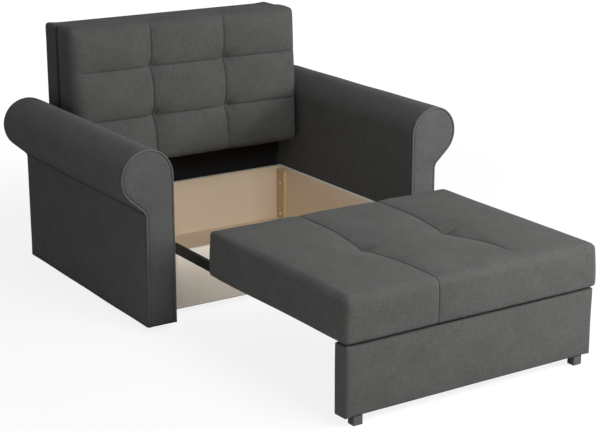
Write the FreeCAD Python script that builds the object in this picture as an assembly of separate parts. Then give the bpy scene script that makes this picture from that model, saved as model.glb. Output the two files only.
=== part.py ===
"""Pull-out chair bed, modelled in millimetres.

The photographed state is the rest state: seat drawn out, back upright.
While it is modelled, x = 0 is the middle, y = 0 the plane of the arms' fronts, z = 0 the floor,
and +Y runs to the rear. At the end everything is moved so that the origin lies under the
middle of the space that the bed takes up.
"""

import FreeCAD
import Part
import math
import os
from FreeCAD import Vector

# Arms
inner_width = 1056.0       # clear width between the arms
arm_thickness = 114.0      # straight part of an arm
arm_depth = 1057.0
arm_lift = 26.0            # underside above the floor
roll_radius = 104.0
roll_height = 585.0        # axis of the rolled top
crease_height = 455.0      # where the roll meets the outer side
crease_radius = 9.0
arm_padding = 10.0         # foam and cover over the arm frame
arm_frame_height = 490.0
piping_radius = 4.0
piping_gap = 0.3
facing_setback = 0.5       # facing behind the piping's front
glide_radius = 20.0
glide_chamfer = 2.0
glide_from_front = 110.0
glide_from_rear = 90.0

# Boards of the bedding box
board = 16.0
box_front = 137.0          # front face of the front board, behind the arms' fronts
box_setback = 88.0         # rear face of the back board, ahead of the arms' rear
box_lift = 26.0
side_board_top = 263.0
front_board_top = 245.0
base_thickness = 3.0
batten_width = 60.0
batten_thickness = 14.0
batten_top = 250.0
screw_low = 23.0           # lower screw of a batten, above the box's bottom edge
screw_high = 167.0
screw_radius = 2.5
screw_head_radius = 6.0
screw_play = 0.1
screw_head = 2.5
screw_tip = 3.0            # side board left past a screw's tip
rear_panel_thickness = 16.0
rear_panel_lift = 30.0
rear_panel_side_gap = 20.0

# Seat
seat_top = 430.0
seat_thickness = 154.0
seat_side_gap = 15.0       # seat to arm
seat_length = 834.0
seat_field = 340.0         # width of the middle field between the two seams
seat_bulge = 9.0
seat_front_bulge = 8.0
seat_side_draw = 5.0       # sides drawn in at the middle of their length
seat_edge = 28.0
seat_front_edge = 32.0
seat_foot_edge = 8.0
seat_lip = 2.0             # rounded edges run out this far above the top
seat_corner = 20.0
seat_tuft_back = 372.0     # tufts behind the front edge
seat_padding = 25.0        # foam round the seat frame
rail = 18.0
seat_frame_height = 54.0
seat_board_thickness = 6.0
seat_bottom_thickness = 3.0

# Front panel and feet under the seat
panel_inset = 3.0          # ends within the seat's sides
panel_thickness = 62.0
panel_setback = 2.0
panel_gap = 6.0            # dark gap between the panel and the seat
panel_board = 16.0
panel_padding = 22.0
panel_bulge = 6.0
panel_edge = 12.0
panel_rear_edge = 3.0
foot_edge = 2.0
foot_height = 31.0
foot_width = 35.0
foot_depth = 33.0
foot_inset = 51.0          # middle within the panel's end
angle_inset = 210.0
angle_width = 40.0
angle_leg = 46.0
steel = 3.0

# Runners: bars that carry the rear of the seat
runner_inset = 55.5        # middle within the seat's side
runner_width = 15.0
runner_height = 38.0
runner_wall = 1.5
runner_edge = 2.0
runner_lift = 1.5          # clear of the front board's top edge
runner_end_gap = 13.0      # to the back board when the seat is in
cap_thickness = 3.0
lug_thickness = 3.5
lug_drop = 14.0
plug_length = 12.0
plug_play = 0.2
pin_gap = 0.5              # pin's ends within the channel's sides
pin_radius = 4.0
pin_setback = 12.0
slot_play = 0.3
slot_least = 120.0         # least run of the pins in their slots
channel_wall = 2.0
channel_play = 2.0         # beside and above the bar
channel_gap = 5.0          # channel's lower edge above the front board's top
channel_end = 6.0
roller_gap = 0.3
box_roller_radius = 12.0
seat_roller_radius = 11.0
axle_radius = 4.0
axle_play = 0.05
bracket_reach = 28.5
bracket_drop = 6.0
housing_gap = 6.0          # roller housing ahead of the roller
slot_end = 0.98            # share of the slot's half height that rounds its ends

# Back: two layers that open forward like a book
seam_setback = 89.5        # seam between the layers, ahead of the arms' rear
seam_gap = 5.0
back_bottom = 411.0
back_top = 979.0
rear_layer_drop = 3.0
front_layer_bottom = 142.0  # thickness of the front layer at its bottom
front_layer_top = 104.0
front_layer_rise = 6.0      # front bottom edge above the rear one
front_layer_edge = 30.0
front_layer_top_edge = 34.0
front_layer_corner = 22.0
layer_foot_edge = 6.0       # small edges where the layers face each other
layer_top_edge = 14.0
front_layer_gap = 13.0      # front layer to arm
rear_layer_gap = 16.0
rear_layer_thickness = 120.0
rear_layer_crown = 6.0
rear_layer_edge = 38.0
back_field_width = 340.0
back_seam_low = 190.0      # stitched seams above the back's bottom
back_seam_high = 390.0
back_bulge = 12.0
back_valley = 9.0          # seams and ends sunk behind the leaning face
back_crest = 2.0
back_calm = 3.0            # what is left of the bulge along a seam
tuft_radius = 60.0
tuft_depth = 8.0
back_frame_inset = 22.0
front_frame_thickness = 28.0
rear_frame_thickness = 45.0
back_frame_cover = 8.0
stile = 45.0

# Pivot of the back and the seam hinges
pivot_setback = 44.5       # pivot behind the seam
lay_gap = 2.0              # opened back above the runners
pivot_radius = 5.0
pivot_play = 0.05
plate_thickness = 4.0
plate_width = 56.0
plate_height = 96.0
plate_corner = 10.0
plate_bolt_inset = 13.0
bolt_head_radius = 7.0
bolt_head = 2.5
bolt_pitch = 80.0
bracket_thickness = 4.0
bracket_half = 16.0
bracket_rise = 212.0
bracket_lean = 8.0
rivet_radius = 9.0
rivet_thickness = 1.5
rivet_gap = 0.5
hinge_rise = 3.0           # hinge axis above the front layer's top
hinge_length = 60.0
hinge_inset = 182.0        # hinges' middles within the rear layer's sides
leaf_thickness = 2.0
leaf_height = 34.0
knuckle_radius = 3.5
knuckle_gap = 0.4
hinge_pin_radius = 1.5
hinge_pin_play = 0.05

# Gaps between seat and back
bed_clearance = 1.1        # left between seat and back while the back swings down
close_gap = 11.0           # seat to upright back when the seat is in
swing_gap = 3.0
edge_relief = 0.09         # share of its radius by which a rounded corner passes closer

# How far a cutter runs past what it cuts
past = 1.0
well_past = 30.0

# Places worked out from the sizes above
inner_x = inner_width / 2
outer_x = inner_x + arm_thickness
box_back = arm_depth - box_setback
seam_behind = arm_depth - seam_setback
seat_width = inner_width - 2 * seat_side_gap
panel_width = seat_width - 2 * panel_inset
front_layer_width = inner_width - 2 * front_layer_gap
rear_layer_width = inner_width - 2 * rear_layer_gap
foot_x = panel_width / 2 - foot_inset
angle_x = panel_width / 2 - angle_inset
hinge_x = rear_layer_width / 2 - hinge_inset
seat_bottom = seat_top - seat_thickness
runner_bottom = front_board_top + runner_lift
runner_top = runner_bottom + runner_height
pivot_y = seam_behind + pivot_setback
lay_z = runner_top + lay_gap
pivot_z = lay_z + pivot_setback - seam_gap / 2
fold_z = back_top + hinge_rise
back_face = seam_behind - seam_gap / 2 - front_layer_bottom
flat_front = pivot_y - (fold_z - pivot_z) - (fold_z - back_bottom)
unfolded = pivot_y - flat_front
overshoot = math.hypot(unfolded, pivot_y - back_face) - unfolded
bed_gap = overshoot - front_layer_rise - edge_relief * front_layer_edge + bed_clearance
seat_rear = flat_front - bed_gap
seat_front = seat_rear - seat_length
seat_travel = back_face - close_gap - seat_rear
runner_rear = box_front + board + bracket_reach + lug_thickness
runner_room = box_back - board - runner_end_gap - runner_rear
runner_travel = min(runner_room, seat_travel - slot_least)
slot_travel = seat_travel - runner_travel
frame_front = seat_front + seat_padding
frame_rear = seat_rear - seat_padding
panel_rear = seat_front + panel_setback + panel_thickness
channel_front = panel_rear + channel_end
runner_front = channel_front + slot_travel + 2 * pin_setback
runner_x = seat_width / 2 - runner_inset
channel_half = runner_width / 2 + channel_play + channel_wall
box_roller_y = box_front + board + steel + box_roller_radius + 0.5
box_roller_z = runner_bottom - roller_gap - box_roller_radius
seat_roller_y = frame_rear - 18.0
seat_roller_z = runner_top + roller_gap + seat_roller_radius
rear_reach = seam_behind + seam_gap / 2 + rear_layer_thickness + rear_layer_crown
centre_shift = -(seat_front + rear_reach) / 2


def point(plane, at, u, v):
    """A point of a plane: xy, xz or yz, at its height along the third axis."""
    if plane == "xy":
        return Vector(u, v, at)
    if plane == "xz":
        return Vector(u, at, v)
    return Vector(at, u, v)


def rounded_wire(plane, at, corners):
    """A closed outline whose corners (u, v, radius) are rounded by arcs."""
    edges = []
    starts = []
    ends = []
    count = len(corners)
    for index, (u, v, radius) in enumerate(corners):
        before = corners[index - 1]
        after = corners[(index + 1) % count]
        into = Vector(before[0] - u, before[1] - v, 0).normalize()
        out = Vector(after[0] - u, after[1] - v, 0).normalize()
        half_turn = into.getAngle(out) / 2
        cut = radius / math.tan(half_turn)
        start = (u + into.x * cut, v + into.y * cut)
        end = (u + out.x * cut, v + out.y * cut)
        starts.append(start)
        ends.append(end)
        if radius > 0:
            middle = Vector(into.x + out.x, into.y + out.y, 0).normalize()
            reach = radius / math.sin(half_turn) - radius
            crown = (u + middle.x * reach, v + middle.y * reach)
            arc = Part.Arc(point(plane, at, *start), point(plane, at, *crown), point(plane, at, *end))
            edges.append(arc.toShape())
        else:
            edges.append(None)
    ordered = []
    for index in range(count):
        if edges[index] is not None:
            ordered.append(edges[index])
        begin = point(plane, at, *ends[index])
        finish = point(plane, at, *starts[(index + 1) % count])
        if begin.distanceToPoint(finish) > 1e-6:
            ordered.append(Part.LineSegment(begin, finish).toShape())
    return Part.Wire(ordered)


def along(plane, length):
    """The vector that a plane's outline is pushed along."""
    return {"xy": Vector(0, 0, length), "xz": Vector(0, length, 0), "yz": Vector(length, 0, 0)}[plane]


def prism(plane, low, high, corners):
    """A rounded outline pushed from low to high along the third axis."""
    return Part.Face(rounded_wire(plane, low, corners)).extrude(along(plane, high - low))


def block(x0, x1, y0, y1, z0, z1):
    """A rectangular block between two corners."""
    return Part.makeBox(x1 - x0, y1 - y0, z1 - z0, Vector(x0, y0, z0))


def rod(x0, x1, y, z, radius):
    """A round bar along X."""
    return Part.makeCylinder(radius, x1 - x0, Vector(x0, y, z), Vector(1, 0, 0))


def arcs(plane, at, points, bulge, outward):
    """Arcs that join a row of points, each crowned by bulge towards outward."""
    edges = []
    for (u0, v0), (u1, v1) in zip(points, points[1:]):
        crown = ((u0 + u1) / 2 + outward[0] * bulge, (v0 + v1) / 2 + outward[1] * bulge)
        arc = Part.Arc(point(plane, at, u0, v0), point(plane, at, *crown), point(plane, at, u1, v1))
        edges.append(arc.toShape())
    return edges


def lines(plane, at, points):
    """Straight edges through a row of points."""
    ends = zip(points, points[1:])
    return [Part.LineSegment(point(plane, at, *a), point(plane, at, *b)).toShape() for a, b in ends]


def lobed(plane, low, high, row, bulge, outward, far):
    """A prism whose one side is a row of crowned fields and whose other side is far away."""
    first, last = row[0], row[-1]
    edges = arcs(plane, low, row, bulge, outward)
    if outward[0] == 0:
        edges += lines(plane, low, [last, (last[0], far), (first[0], far), first])
    else:
        edges += lines(plane, low, [last, (far, last[1]), (far, first[1]), first])
    return Part.Face(Part.Wire(edges)).extrude(along(plane, high - low))


def meet(shape, *others):
    """The space that all the shapes share, as one solid."""
    for other in others:
        shape = shape.common(other)
    return shape.Solids[0]


def without(shape, cutters):
    """A solid less every cutter."""
    for cutter in cutters:
        shape = shape.cut(cutter)
    return shape.Solids[0]


def joined(*shapes):
    """Shapes fused into one solid with clean faces."""
    whole = shapes[0]
    for shape in shapes[1:]:
        whole = whole.fuse(shape)
    return whole.removeSplitter().Solids[0]


def mirrored(shape):
    """The same piece on the other side of the middle."""
    return shape.mirror(Vector(0, 0, 0), Vector(1, 0, 0))


def sided(name, solids):
    """A right-hand node and its left-hand twin."""
    return {
        name.format("right"): solids,
        name.format("left"): [mirrored(solid) for solid in solids],
    }


def arm_outline(y, inset):
    """Front outline of the right arm, drawn in by inset: roll, crease and straight board."""
    radius = roll_radius - inset
    axis_x = inner_x + roll_radius
    side_x = outer_x - inset
    inside_x = inner_x + inset
    foot_z = arm_lift + inset
    crease = (side_x, crease_height + inset * 0.4)
    away = (crease[0] - axis_x, crease[1] - roll_height)
    reach = math.hypot(*away)
    leave = math.atan2(away[1], away[0]) + math.acos(radius / reach)
    leave_point = (axis_x + radius * math.cos(leave), roll_height + radius * math.sin(leave))
    slope = Vector(leave_point[0] - crease[0], leave_point[1] - crease[1], 0).normalize()
    down = Vector(0, -1, 0)
    half_turn = slope.getAngle(down) / 2
    bend = crease_radius + inset
    cut = bend / math.tan(half_turn)
    bend_top = (crease[0] + slope.x * cut, crease[1] + slope.y * cut)
    bend_foot = (crease[0], crease[1] - cut)
    between = Vector(slope.x, slope.y - 1, 0).normalize()
    lift = bend / math.sin(half_turn) - bend
    bend_middle = (crease[0] + between.x * lift, crease[1] + between.y * lift)
    crown_angle = (math.pi + leave) / 2
    crown = (axis_x + radius * math.cos(crown_angle), roll_height + radius * math.sin(crown_angle))

    def at(pair):
        return point("xz", y, *pair)

    return [
        Part.LineSegment(at((inside_x, foot_z)), at((inside_x, roll_height))).toShape(),
        Part.Arc(at((inside_x, roll_height)), at(crown), at(leave_point)).toShape(),
        Part.LineSegment(at(leave_point), at(bend_top)).toShape(),
        Part.Arc(at(bend_top), at(bend_middle), at(bend_foot)).toShape(),
        Part.LineSegment(at(bend_foot), at((side_x, foot_z))).toShape(),
    ], at((side_x, foot_z)), at((inside_x, foot_z))


def arm_solid(y0, y1, inset):
    """The arm's outline pushed along its depth."""
    edges, last, first = arm_outline(y0, inset)
    closing = Part.LineSegment(last, first).toShape()
    return Part.Face(Part.Wire(edges + [closing])).extrude(Vector(0, y1 - y0, 0))


def hexagon(x0, x1, y, z, radius):
    """A six-sided bar along X, for bolt heads and screw shanks."""
    turns = [math.radians(60 * index) for index in range(6)]
    corners = [(y + radius * math.cos(turn), z + radius * math.sin(turn), 0) for turn in turns]
    return prism("yz", x0, x1, corners)


def octagon(centre, radius):
    """A level eight-sided ring round a point."""
    turns = [math.radians(45 * index) for index in range(8)]
    corners = [centre + Vector(radius * math.cos(turn), radius * math.sin(turn), 0) for turn in turns]
    return Part.makePolygon(corners + corners[:1])


def arms():
    """Both arms: frame, padded cover, front facing, piping and glides."""
    cover_front = 2 * piping_radius + piping_gap
    frame_front_y = cover_front + arm_padding
    frame_rear_y = arm_depth - arm_padding
    x0 = inner_x + arm_padding
    x1 = outer_x - arm_padding
    z0 = arm_lift + arm_padding
    z1 = z0 + arm_frame_height
    boards = [
        block(x0, x0 + board, frame_front_y, frame_rear_y, z0, z1),
        block(x1 - board, x1, frame_front_y, frame_rear_y, z0, z1),
    ]
    cores = [
        block(x0 + board, x1 - board, frame_front_y, frame_front_y + board, z0, z1),
        block(x0 + board, x1 - board, frame_rear_y - board, frame_rear_y, z0, z1),
        block(x0 + board, x1 - board, frame_front_y + board, frame_rear_y - board, z0, z0 + board),
        block(x0 + board, x1 - board, frame_front_y + board, frame_rear_y - board, z1 - board, z1),
    ]
    cavity = block(x0, x1, frame_front_y, frame_rear_y, z0, z1)
    cover = without(arm_solid(cover_front, arm_depth, 0), [cavity])
    facing = arm_solid(facing_setback, cover_front - piping_gap / 2, 2 * piping_radius + piping_gap)
    edges, _, first = arm_outline(piping_radius, piping_radius)
    piping = Part.Wire(edges).makePipeShell([octagon(first, piping_radius)], True, False).Solids[0]
    glides = []
    for y in (glide_from_front, arm_depth - glide_from_rear):
        middle = Vector((inner_x + outer_x) / 2, y, 0)
        foot = Part.makeCylinder(glide_radius, arm_lift, middle)
        low_edge = [edge for edge in foot.Edges if edge.BoundBox.ZMax < 0.01]
        glides.append(foot.makeChamfer(glide_chamfer, low_edge).Solids[0])
    nodes = {}
    nodes.update(sided("arm_{}_frame", boards + cores))
    nodes.update(sided("arm_{}_cover", [cover]))
    nodes.update(sided("arm_{}_facing", [facing]))
    nodes.update(sided("arm_{}_piping", [piping]))
    nodes.update(sided("arm_{}_glides", glides))
    return nodes


def bedding_box():
    """Chipboard box between the arms, with its rear corner battens, and the black panel behind it."""
    front_rear = box_front + board
    back_front = box_back - board
    inside = inner_x - board
    head_x = inside - batten_thickness
    batten_y = back_front - batten_width
    screw_y = back_front - batten_width / 2
    drilled = []
    screws = []
    for z in (box_lift + screw_low, box_lift + screw_high):
        drilled.append(hexagon(head_x - past, inner_x + past, screw_y, z, screw_radius + screw_play))
        head = rod(head_x - screw_head, head_x, screw_y, z, screw_head_radius)
        screws.append(joined(head, hexagon(head_x, inner_x - screw_tip, screw_y, z, screw_radius)))
    side = without(block(inside, inner_x, front_rear, back_front, box_lift, side_board_top), drilled)
    batten = without(block(head_x, inside, batten_y, back_front, box_lift, batten_top), drilled)
    swing = back_bottom - pivot_z - swing_gap
    panel_top = pivot_z + math.sqrt(swing ** 2 - (pivot_y - box_back) ** 2)
    panel_x = inner_x - rear_panel_side_gap
    return {
        **sided("box_side_{}", [side]),
        "box_front_board": [block(-inner_x, inner_x, box_front, front_rear, box_lift, front_board_top)],
        "box_back_board": [block(-inner_x, inner_x, back_front, box_back, box_lift, side_board_top)],
        "box_base_panel": [block(-inner_x, inner_x, box_front, box_back, box_lift - base_thickness, box_lift)],
        "box_corner_battens": [batten, mirrored(batten)],
        "box_batten_screws": screws + [mirrored(one) for one in screws],
        "rear_panel": [
            block(-panel_x, panel_x, box_back, box_back + rear_panel_thickness, rear_panel_lift, panel_top)
        ],
    }


def box_rollers():
    """Brackets with riveted axles behind the front board, and the rollers that carry the runners."""
    x0 = runner_x - channel_half
    x1 = runner_x + channel_half
    rear_of_board = box_front + board
    top = runner_bottom - 2 * roller_gap
    low = box_roller_z - box_roller_radius
    end = rear_of_board + bracket_reach
    shape = [(rear_of_board, low - bracket_drop, 0), (rear_of_board, top, 0), (end, top, 3), (end, low, 10)]
    cheeks = prism("yz", x0, x1, shape)
    between = block(x0 + channel_wall, x1 - channel_wall, rear_of_board + steel, end + past,
                    low - bracket_drop - past, top + past)
    bracket = joined(without(cheeks, [between]), rod(x0, x1, box_roller_y, box_roller_z, axle_radius))
    return {
        **sided("box_roller_bracket_{}", [bracket]),
        **sided("box_roller_{}", [roller(box_roller_y, box_roller_z, box_roller_radius)]),
    }


def roller(y, z, radius):
    """A roller under or over the right-hand runner, bored for its axle."""
    x0 = runner_x - runner_width / 2
    x1 = runner_x + runner_width / 2
    return without(rod(x0, x1, y, z, radius), [rod(x0 - past, x1 + past, y, z, axle_radius + axle_play)])


def runners():
    """Telescoping runner bars with riveted stop pins, and their end caps."""
    x0 = runner_x - runner_width / 2
    x1 = runner_x + runner_width / 2
    middle_z = (runner_bottom + runner_top) / 2
    pin_y = runner_front + pin_setback
    wall = runner_wall
    y0 = runner_front + cap_thickness
    y1 = runner_rear - lug_thickness
    edge = runner_edge
    tube = prism("xz", y0, y1, [
        (x0, runner_bottom, edge), (x1, runner_bottom, edge), (x1, runner_top, edge), (x0, runner_top, edge),
    ])
    bore = block(x0 + wall, x1 - wall, y0 - past, y1 + past, runner_bottom + wall, runner_top - wall)
    pin_half = channel_half - pin_gap
    pin = rod(runner_x - pin_half, runner_x + pin_half, pin_y, middle_z, pin_radius)
    plug = plug_play + wall
    front_cap = joined(
        block(x0, x1, runner_front, y0, runner_bottom, runner_top),
        block(x0 + plug, x1 - plug, y0, y0 + cap_thickness, runner_bottom + plug, runner_top - plug),
    )
    rear_cap = joined(
        block(x0, x1, y1, runner_rear, runner_bottom - lug_drop, runner_top),
        block(x0 + plug, x1 - plug, y1 - plug_length, y1, runner_bottom + plug, runner_top - plug),
    )
    return {
        **sided("runner_bar_{}", [joined(without(tube, [bore]), pin)]),
        **sided("runner_caps_{}", [front_cap, rear_cap]),
    }


def seat_rails():
    """Rails of the seat frame, with the channels between the outer and the inner ones."""
    z0 = seat_bottom
    z1 = z0 + seat_frame_height
    outer = seat_width / 2 - seat_padding
    channel_out = runner_x + channel_half
    channel_in = runner_x - channel_half
    rail_in = channel_in - rail
    sides = [
        block(channel_out, outer, frame_front, frame_rear, z0, z1),
        block(rail_in, channel_in, frame_front + rail, frame_rear, z0, z1),
    ]
    front = block(-channel_out, channel_out, frame_front, frame_front + rail, z0, z1)
    rear = block(-rail_in, rail_in, frame_rear - rail, frame_rear, z0, z1)
    middle = block(-rail / 2, rail / 2, frame_front + rail, frame_rear - rail, z0 + seat_bottom_thickness, z1)
    return sides + [mirrored(one) for one in sides] + [front, rear, middle]


def channel():
    """Right-hand channel: an upside-down U with pin slots and a roller housing with its riveted axle."""
    x0 = runner_x - channel_half
    x1 = runner_x + channel_half
    wall = channel_wall
    z0 = front_board_top + channel_gap
    roof = runner_top + channel_play
    housing_roof = seat_roller_z + seat_roller_radius + channel_play
    housing_front = seat_roller_y - seat_roller_radius - housing_gap
    outside = joined(
        block(x0, x1, channel_front, housing_front, z0, roof + wall),
        block(x0, x1, housing_front, frame_rear, z0, housing_roof + wall),
    )
    inside = [
        block(x0 + wall, x1 - wall, channel_front - past, frame_rear + past, z0 - past, roof),
        block(x0 + wall, x1 - wall, housing_front + wall, frame_rear + past, z0 - past, housing_roof),
    ]
    middle_z = (runner_bottom + runner_top) / 2
    play = pin_radius + slot_play
    end = play * slot_end
    slot_in = runner_front + pin_setback - slot_travel - play
    slot_out = runner_front + pin_setback + play
    slot = prism("yz", x0 - past, x1 + past, [
        (slot_in, middle_z - play, end), (slot_out, middle_z - play, end),
        (slot_out, middle_z + play, end), (slot_in, middle_z + play, end),
    ])
    axle = rod(x0, x1, seat_roller_y, seat_roller_z, axle_radius)
    return joined(without(outside, inside + [slot]), axle)


def seat_cushion():
    """Crowned seat pad with two lengthwise seams, a lobed front and two tufts."""
    half = seat_width / 2
    field = seat_field / 2
    seam_z = seat_top - seat_bulge
    low = seat_front - well_past
    high = seat_rear + well_past
    under = seat_bottom - well_past
    over = seat_top + well_past
    row = [(-half, seam_z), (-field, seam_z), (field, seam_z), (half, seam_z)]
    top = lobed("xz", low, high, row, seat_bulge, (0, 1), under)
    lip = seat_top + seat_lip
    foot = seat_foot_edge
    across = prism("xz", low, high, [
        (-half, seat_bottom, foot), (half, seat_bottom, foot), (half, lip, seat_edge), (-half, lip, seat_edge),
    ])
    lengthwise = prism("yz", -half - past, half + past, [
        (seat_front, seat_bottom, foot), (seat_rear, seat_bottom, foot),
        (seat_rear, lip, seat_edge), (seat_front, lip, seat_front_edge),
    ])
    front_y = seat_front + seat_front_bulge
    front_row = [(-half, front_y), (-field, front_y), (field, front_y), (half, front_y)]
    front = lobed("xy", under, over, front_row, seat_front_bulge, (0, -1), high)
    plan = arcs("xy", under, [(half, seat_front), (half, seat_rear)], seat_side_draw, (-1, 0))
    plan += lines("xy", under, [(half, seat_rear), (-half, seat_rear)])
    plan += arcs("xy", under, [(-half, seat_rear), (-half, seat_front)], seat_side_draw, (1, 0))
    plan += lines("xy", under, [(-half, seat_front), (half, seat_front)])
    sides = Part.Face(Part.Wire(plan)).extrude(Vector(0, 0, over - under))
    corners = prism("xy", under, over, [
        (-half, seat_front, seat_corner), (half, seat_front, seat_corner),
        (half, seat_rear, seat_corner), (-half, seat_rear, seat_corner),
    ])
    pad = meet(top, across, lengthwise, front, sides, corners)
    tuft_y = seat_front + seat_tuft_back
    tuft_z = seam_z - tuft_depth + tuft_radius
    dimples = [Part.makeSphere(tuft_radius, Vector(x, tuft_y, tuft_z)) for x in (-field, field)]
    outer = half - seat_padding
    board_top = seat_bottom + seat_frame_height + seat_board_thickness
    pocket = block(-outer, outer, frame_front, frame_rear, seat_bottom - past, board_top)
    notches = []
    for x in (-runner_x, runner_x):
        notches.append(block(x - channel_half, x + channel_half, frame_rear - past, seat_rear + past,
                             seat_bottom - past, runner_top + channel_play))
    return without(pad, dimples + [pocket] + notches)


def padded_panel():
    """Upholstered front panel with a slightly crowned front."""
    half = panel_width / 2
    front = seat_front + panel_setback
    rear = panel_rear
    low = foot_height
    high = seat_bottom - panel_gap
    row_y = front + panel_bulge
    crowned = lobed("xy", low, high, [(-half, row_y), (half, row_y)], panel_bulge, (0, -1), rear + well_past)
    edge = panel_edge
    thin = panel_rear_edge
    upright = prism("yz", -half, half, [
        (front, low, edge), (rear, low, thin), (rear, high, thin), (front, high, edge),
    ])
    plan = prism("xy", low, high, [
        (-half, front, edge), (half, front, edge), (half, rear, thin), (-half, rear, thin),
    ])
    return without(meet(crowned, upright, plan), [panel_core()])


def panel_core():
    """Board inside the front panel, flush with the panel's rear face."""
    half = panel_width / 2 - panel_padding
    top = seat_bottom - panel_gap - panel_padding / 2
    return block(-half, half, panel_rear - panel_board, panel_rear, foot_height + panel_padding, top)


def seat():
    """Everything that slides out with the seat."""
    outer = seat_width / 2 - seat_padding
    frame_top = seat_bottom + seat_frame_height
    inner_rail = runner_x - channel_half - rail
    bottom = block(-inner_rail, inner_rail, frame_front + rail, frame_rear - rail,
                   seat_bottom, seat_bottom + seat_bottom_thickness)
    angles = []
    for x in (-angle_x, angle_x):
        x0 = x - angle_width / 2
        x1 = x + angle_width / 2
        upright = block(x0, x1, panel_rear, panel_rear + steel, seat_bottom - angle_leg, seat_bottom)
        flat = block(x0, x1, panel_rear, panel_rear + angle_leg, seat_bottom - steel, seat_bottom)
        angles.append(joined(upright, flat))
    x0 = foot_x - foot_width / 2
    x1 = foot_x + foot_width / 2
    y0 = seat_front + panel_setback + panel_bulge
    y1 = y0 + foot_depth
    foot = prism("xy", 0, foot_height, [
        (x0, y0, foot_edge), (x1, y0, foot_edge), (x1, y1, foot_edge), (x0, y1, foot_edge),
    ])
    return {
        "seat_frame": seat_rails(),
        "seat_board": [
            block(-outer, outer, frame_front, frame_rear, frame_top, frame_top + seat_board_thickness),
        ],
        "seat_bottom_panel": [bottom],
        "seat_cushion": [seat_cushion()],
        "front_panel_board": [panel_core()],
        "front_panel_cover": [padded_panel()],
        "front_panel_angles": angles,
        **sided("seat_foot_{}", [foot]),
        **sided("runner_channel_{}", [channel()]),
        **sided("seat_roller_{}", [roller(seat_roller_y, seat_roller_z, seat_roller_radius)]),
    }


def ladder(half_width, y0, y1, z0, z1):
    """Timber frame of a back layer: two stiles and three rails."""
    stiles = [block(half_width - stile, half_width, y0, y1, z0, z1)]
    stiles.append(mirrored(stiles[0]))
    inner = half_width - stile
    middle = (z0 + z1) / 2
    levels = [(z0, z0 + stile), (middle - stile / 2, middle + stile / 2), (z1 - stile, z1)]
    return stiles + [block(-inner, inner, y0, y1, low, high) for low, high in levels]


def face_y(z):
    """Front face of the front layer, which leans back."""
    rear = seam_behind - seam_gap / 2
    share = (z - back_bottom) / (back_top - back_bottom)
    return rear - front_layer_bottom + share * (front_layer_bottom - front_layer_top)


def field_section(z, sunk, bulge):
    """Plan outline of the front layer at one height: three crowned fields, straight rear."""
    half = front_layer_width / 2
    field = back_field_width / 2
    rear = seam_behind + well_past
    y = face_y(z) + sunk
    row = [(-half, y), (-field, y), (field, y), (half, y)]
    edges = arcs("xy", z, row, bulge, (0, -1))
    edges += lines("xy", z, [(half, y), (half, rear), (-half, rear), (-half, y)])
    return Part.Wire(edges)


def field_levels():
    """Heights of the front layer's outlines, with how far each is sunk and how much it bulges."""
    seams = [
        back_bottom - well_past, back_bottom + back_seam_low, back_bottom + back_seam_high,
        back_top + well_past,
    ]
    levels = []
    for low, high in zip(seams, seams[1:]):
        for share in (0, 0.25, 0.75):
            full = 1 - (2 * share - 1) ** 2
            sunk = back_valley + full * (back_crest - back_valley)
            levels.append((low + share * (high - low), sunk, back_calm + full * (back_bulge - back_calm)))
    levels.append((seams[-1], back_valley, back_calm))
    return levels


def front_cushion(frame):
    """Front layer of the back: three by three stitched fields and four tufts."""
    pillow = Part.makeLoft([field_section(*level) for level in field_levels()], True, True)
    half = front_layer_width / 2
    rear = seam_behind - seam_gap / 2
    proud = back_bulge
    side = prism("yz", -half, half, [
        (rear, back_bottom, layer_foot_edge), (rear, back_top, layer_top_edge),
        (face_y(back_top) - proud, back_top, front_layer_top_edge),
        (face_y(back_bottom) - proud, back_bottom + front_layer_rise, front_layer_edge),
    ])
    corner = front_layer_corner
    front = prism("xz", face_y(back_bottom) - well_past, rear + past, [
        (-half, back_bottom, corner), (half, back_bottom, corner),
        (half, back_top, corner), (-half, back_top, corner),
    ])
    pad = meet(pillow, side, front)
    field = back_field_width / 2
    dimples = []
    for z in (back_bottom + back_seam_low, back_bottom + back_seam_high):
        y = face_y(z) + back_valley + tuft_depth - tuft_radius
        dimples += [Part.makeSphere(tuft_radius, Vector(x, y, z)) for x in (-field, field)]
    return without(pad, dimples + frame)


def rear_cushion(frame):
    """Rear layer of the back: a plain pad with full, rounded rear edges."""
    half = rear_layer_width / 2
    front = seam_behind + seam_gap / 2
    rear = front + rear_layer_thickness
    crest = rear + rear_layer_crown
    top = back_top - rear_layer_drop
    edge = rear_layer_edge
    foot = layer_foot_edge
    side = prism("yz", -half, half, [
        (front, back_bottom, foot), (crest, back_bottom, edge),
        (crest, top, edge), (front, top, layer_top_edge),
    ])
    crowned = arcs("xy", back_bottom, [(half, rear), (-half, rear)], rear_layer_crown, (0, 1))
    crowned += lines("xy", back_bottom, [(-half, rear), (-half, front), (half, front), (half, rear)])
    plan = Part.Face(Part.Wire(crowned)).extrude(Vector(0, 0, top - back_bottom))
    corners = prism("xy", back_bottom, top, [
        (-half, front, foot), (half, front, foot), (half, crest, edge), (-half, crest, edge),
    ])
    return without(meet(side, plan, corners), frame)


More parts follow.
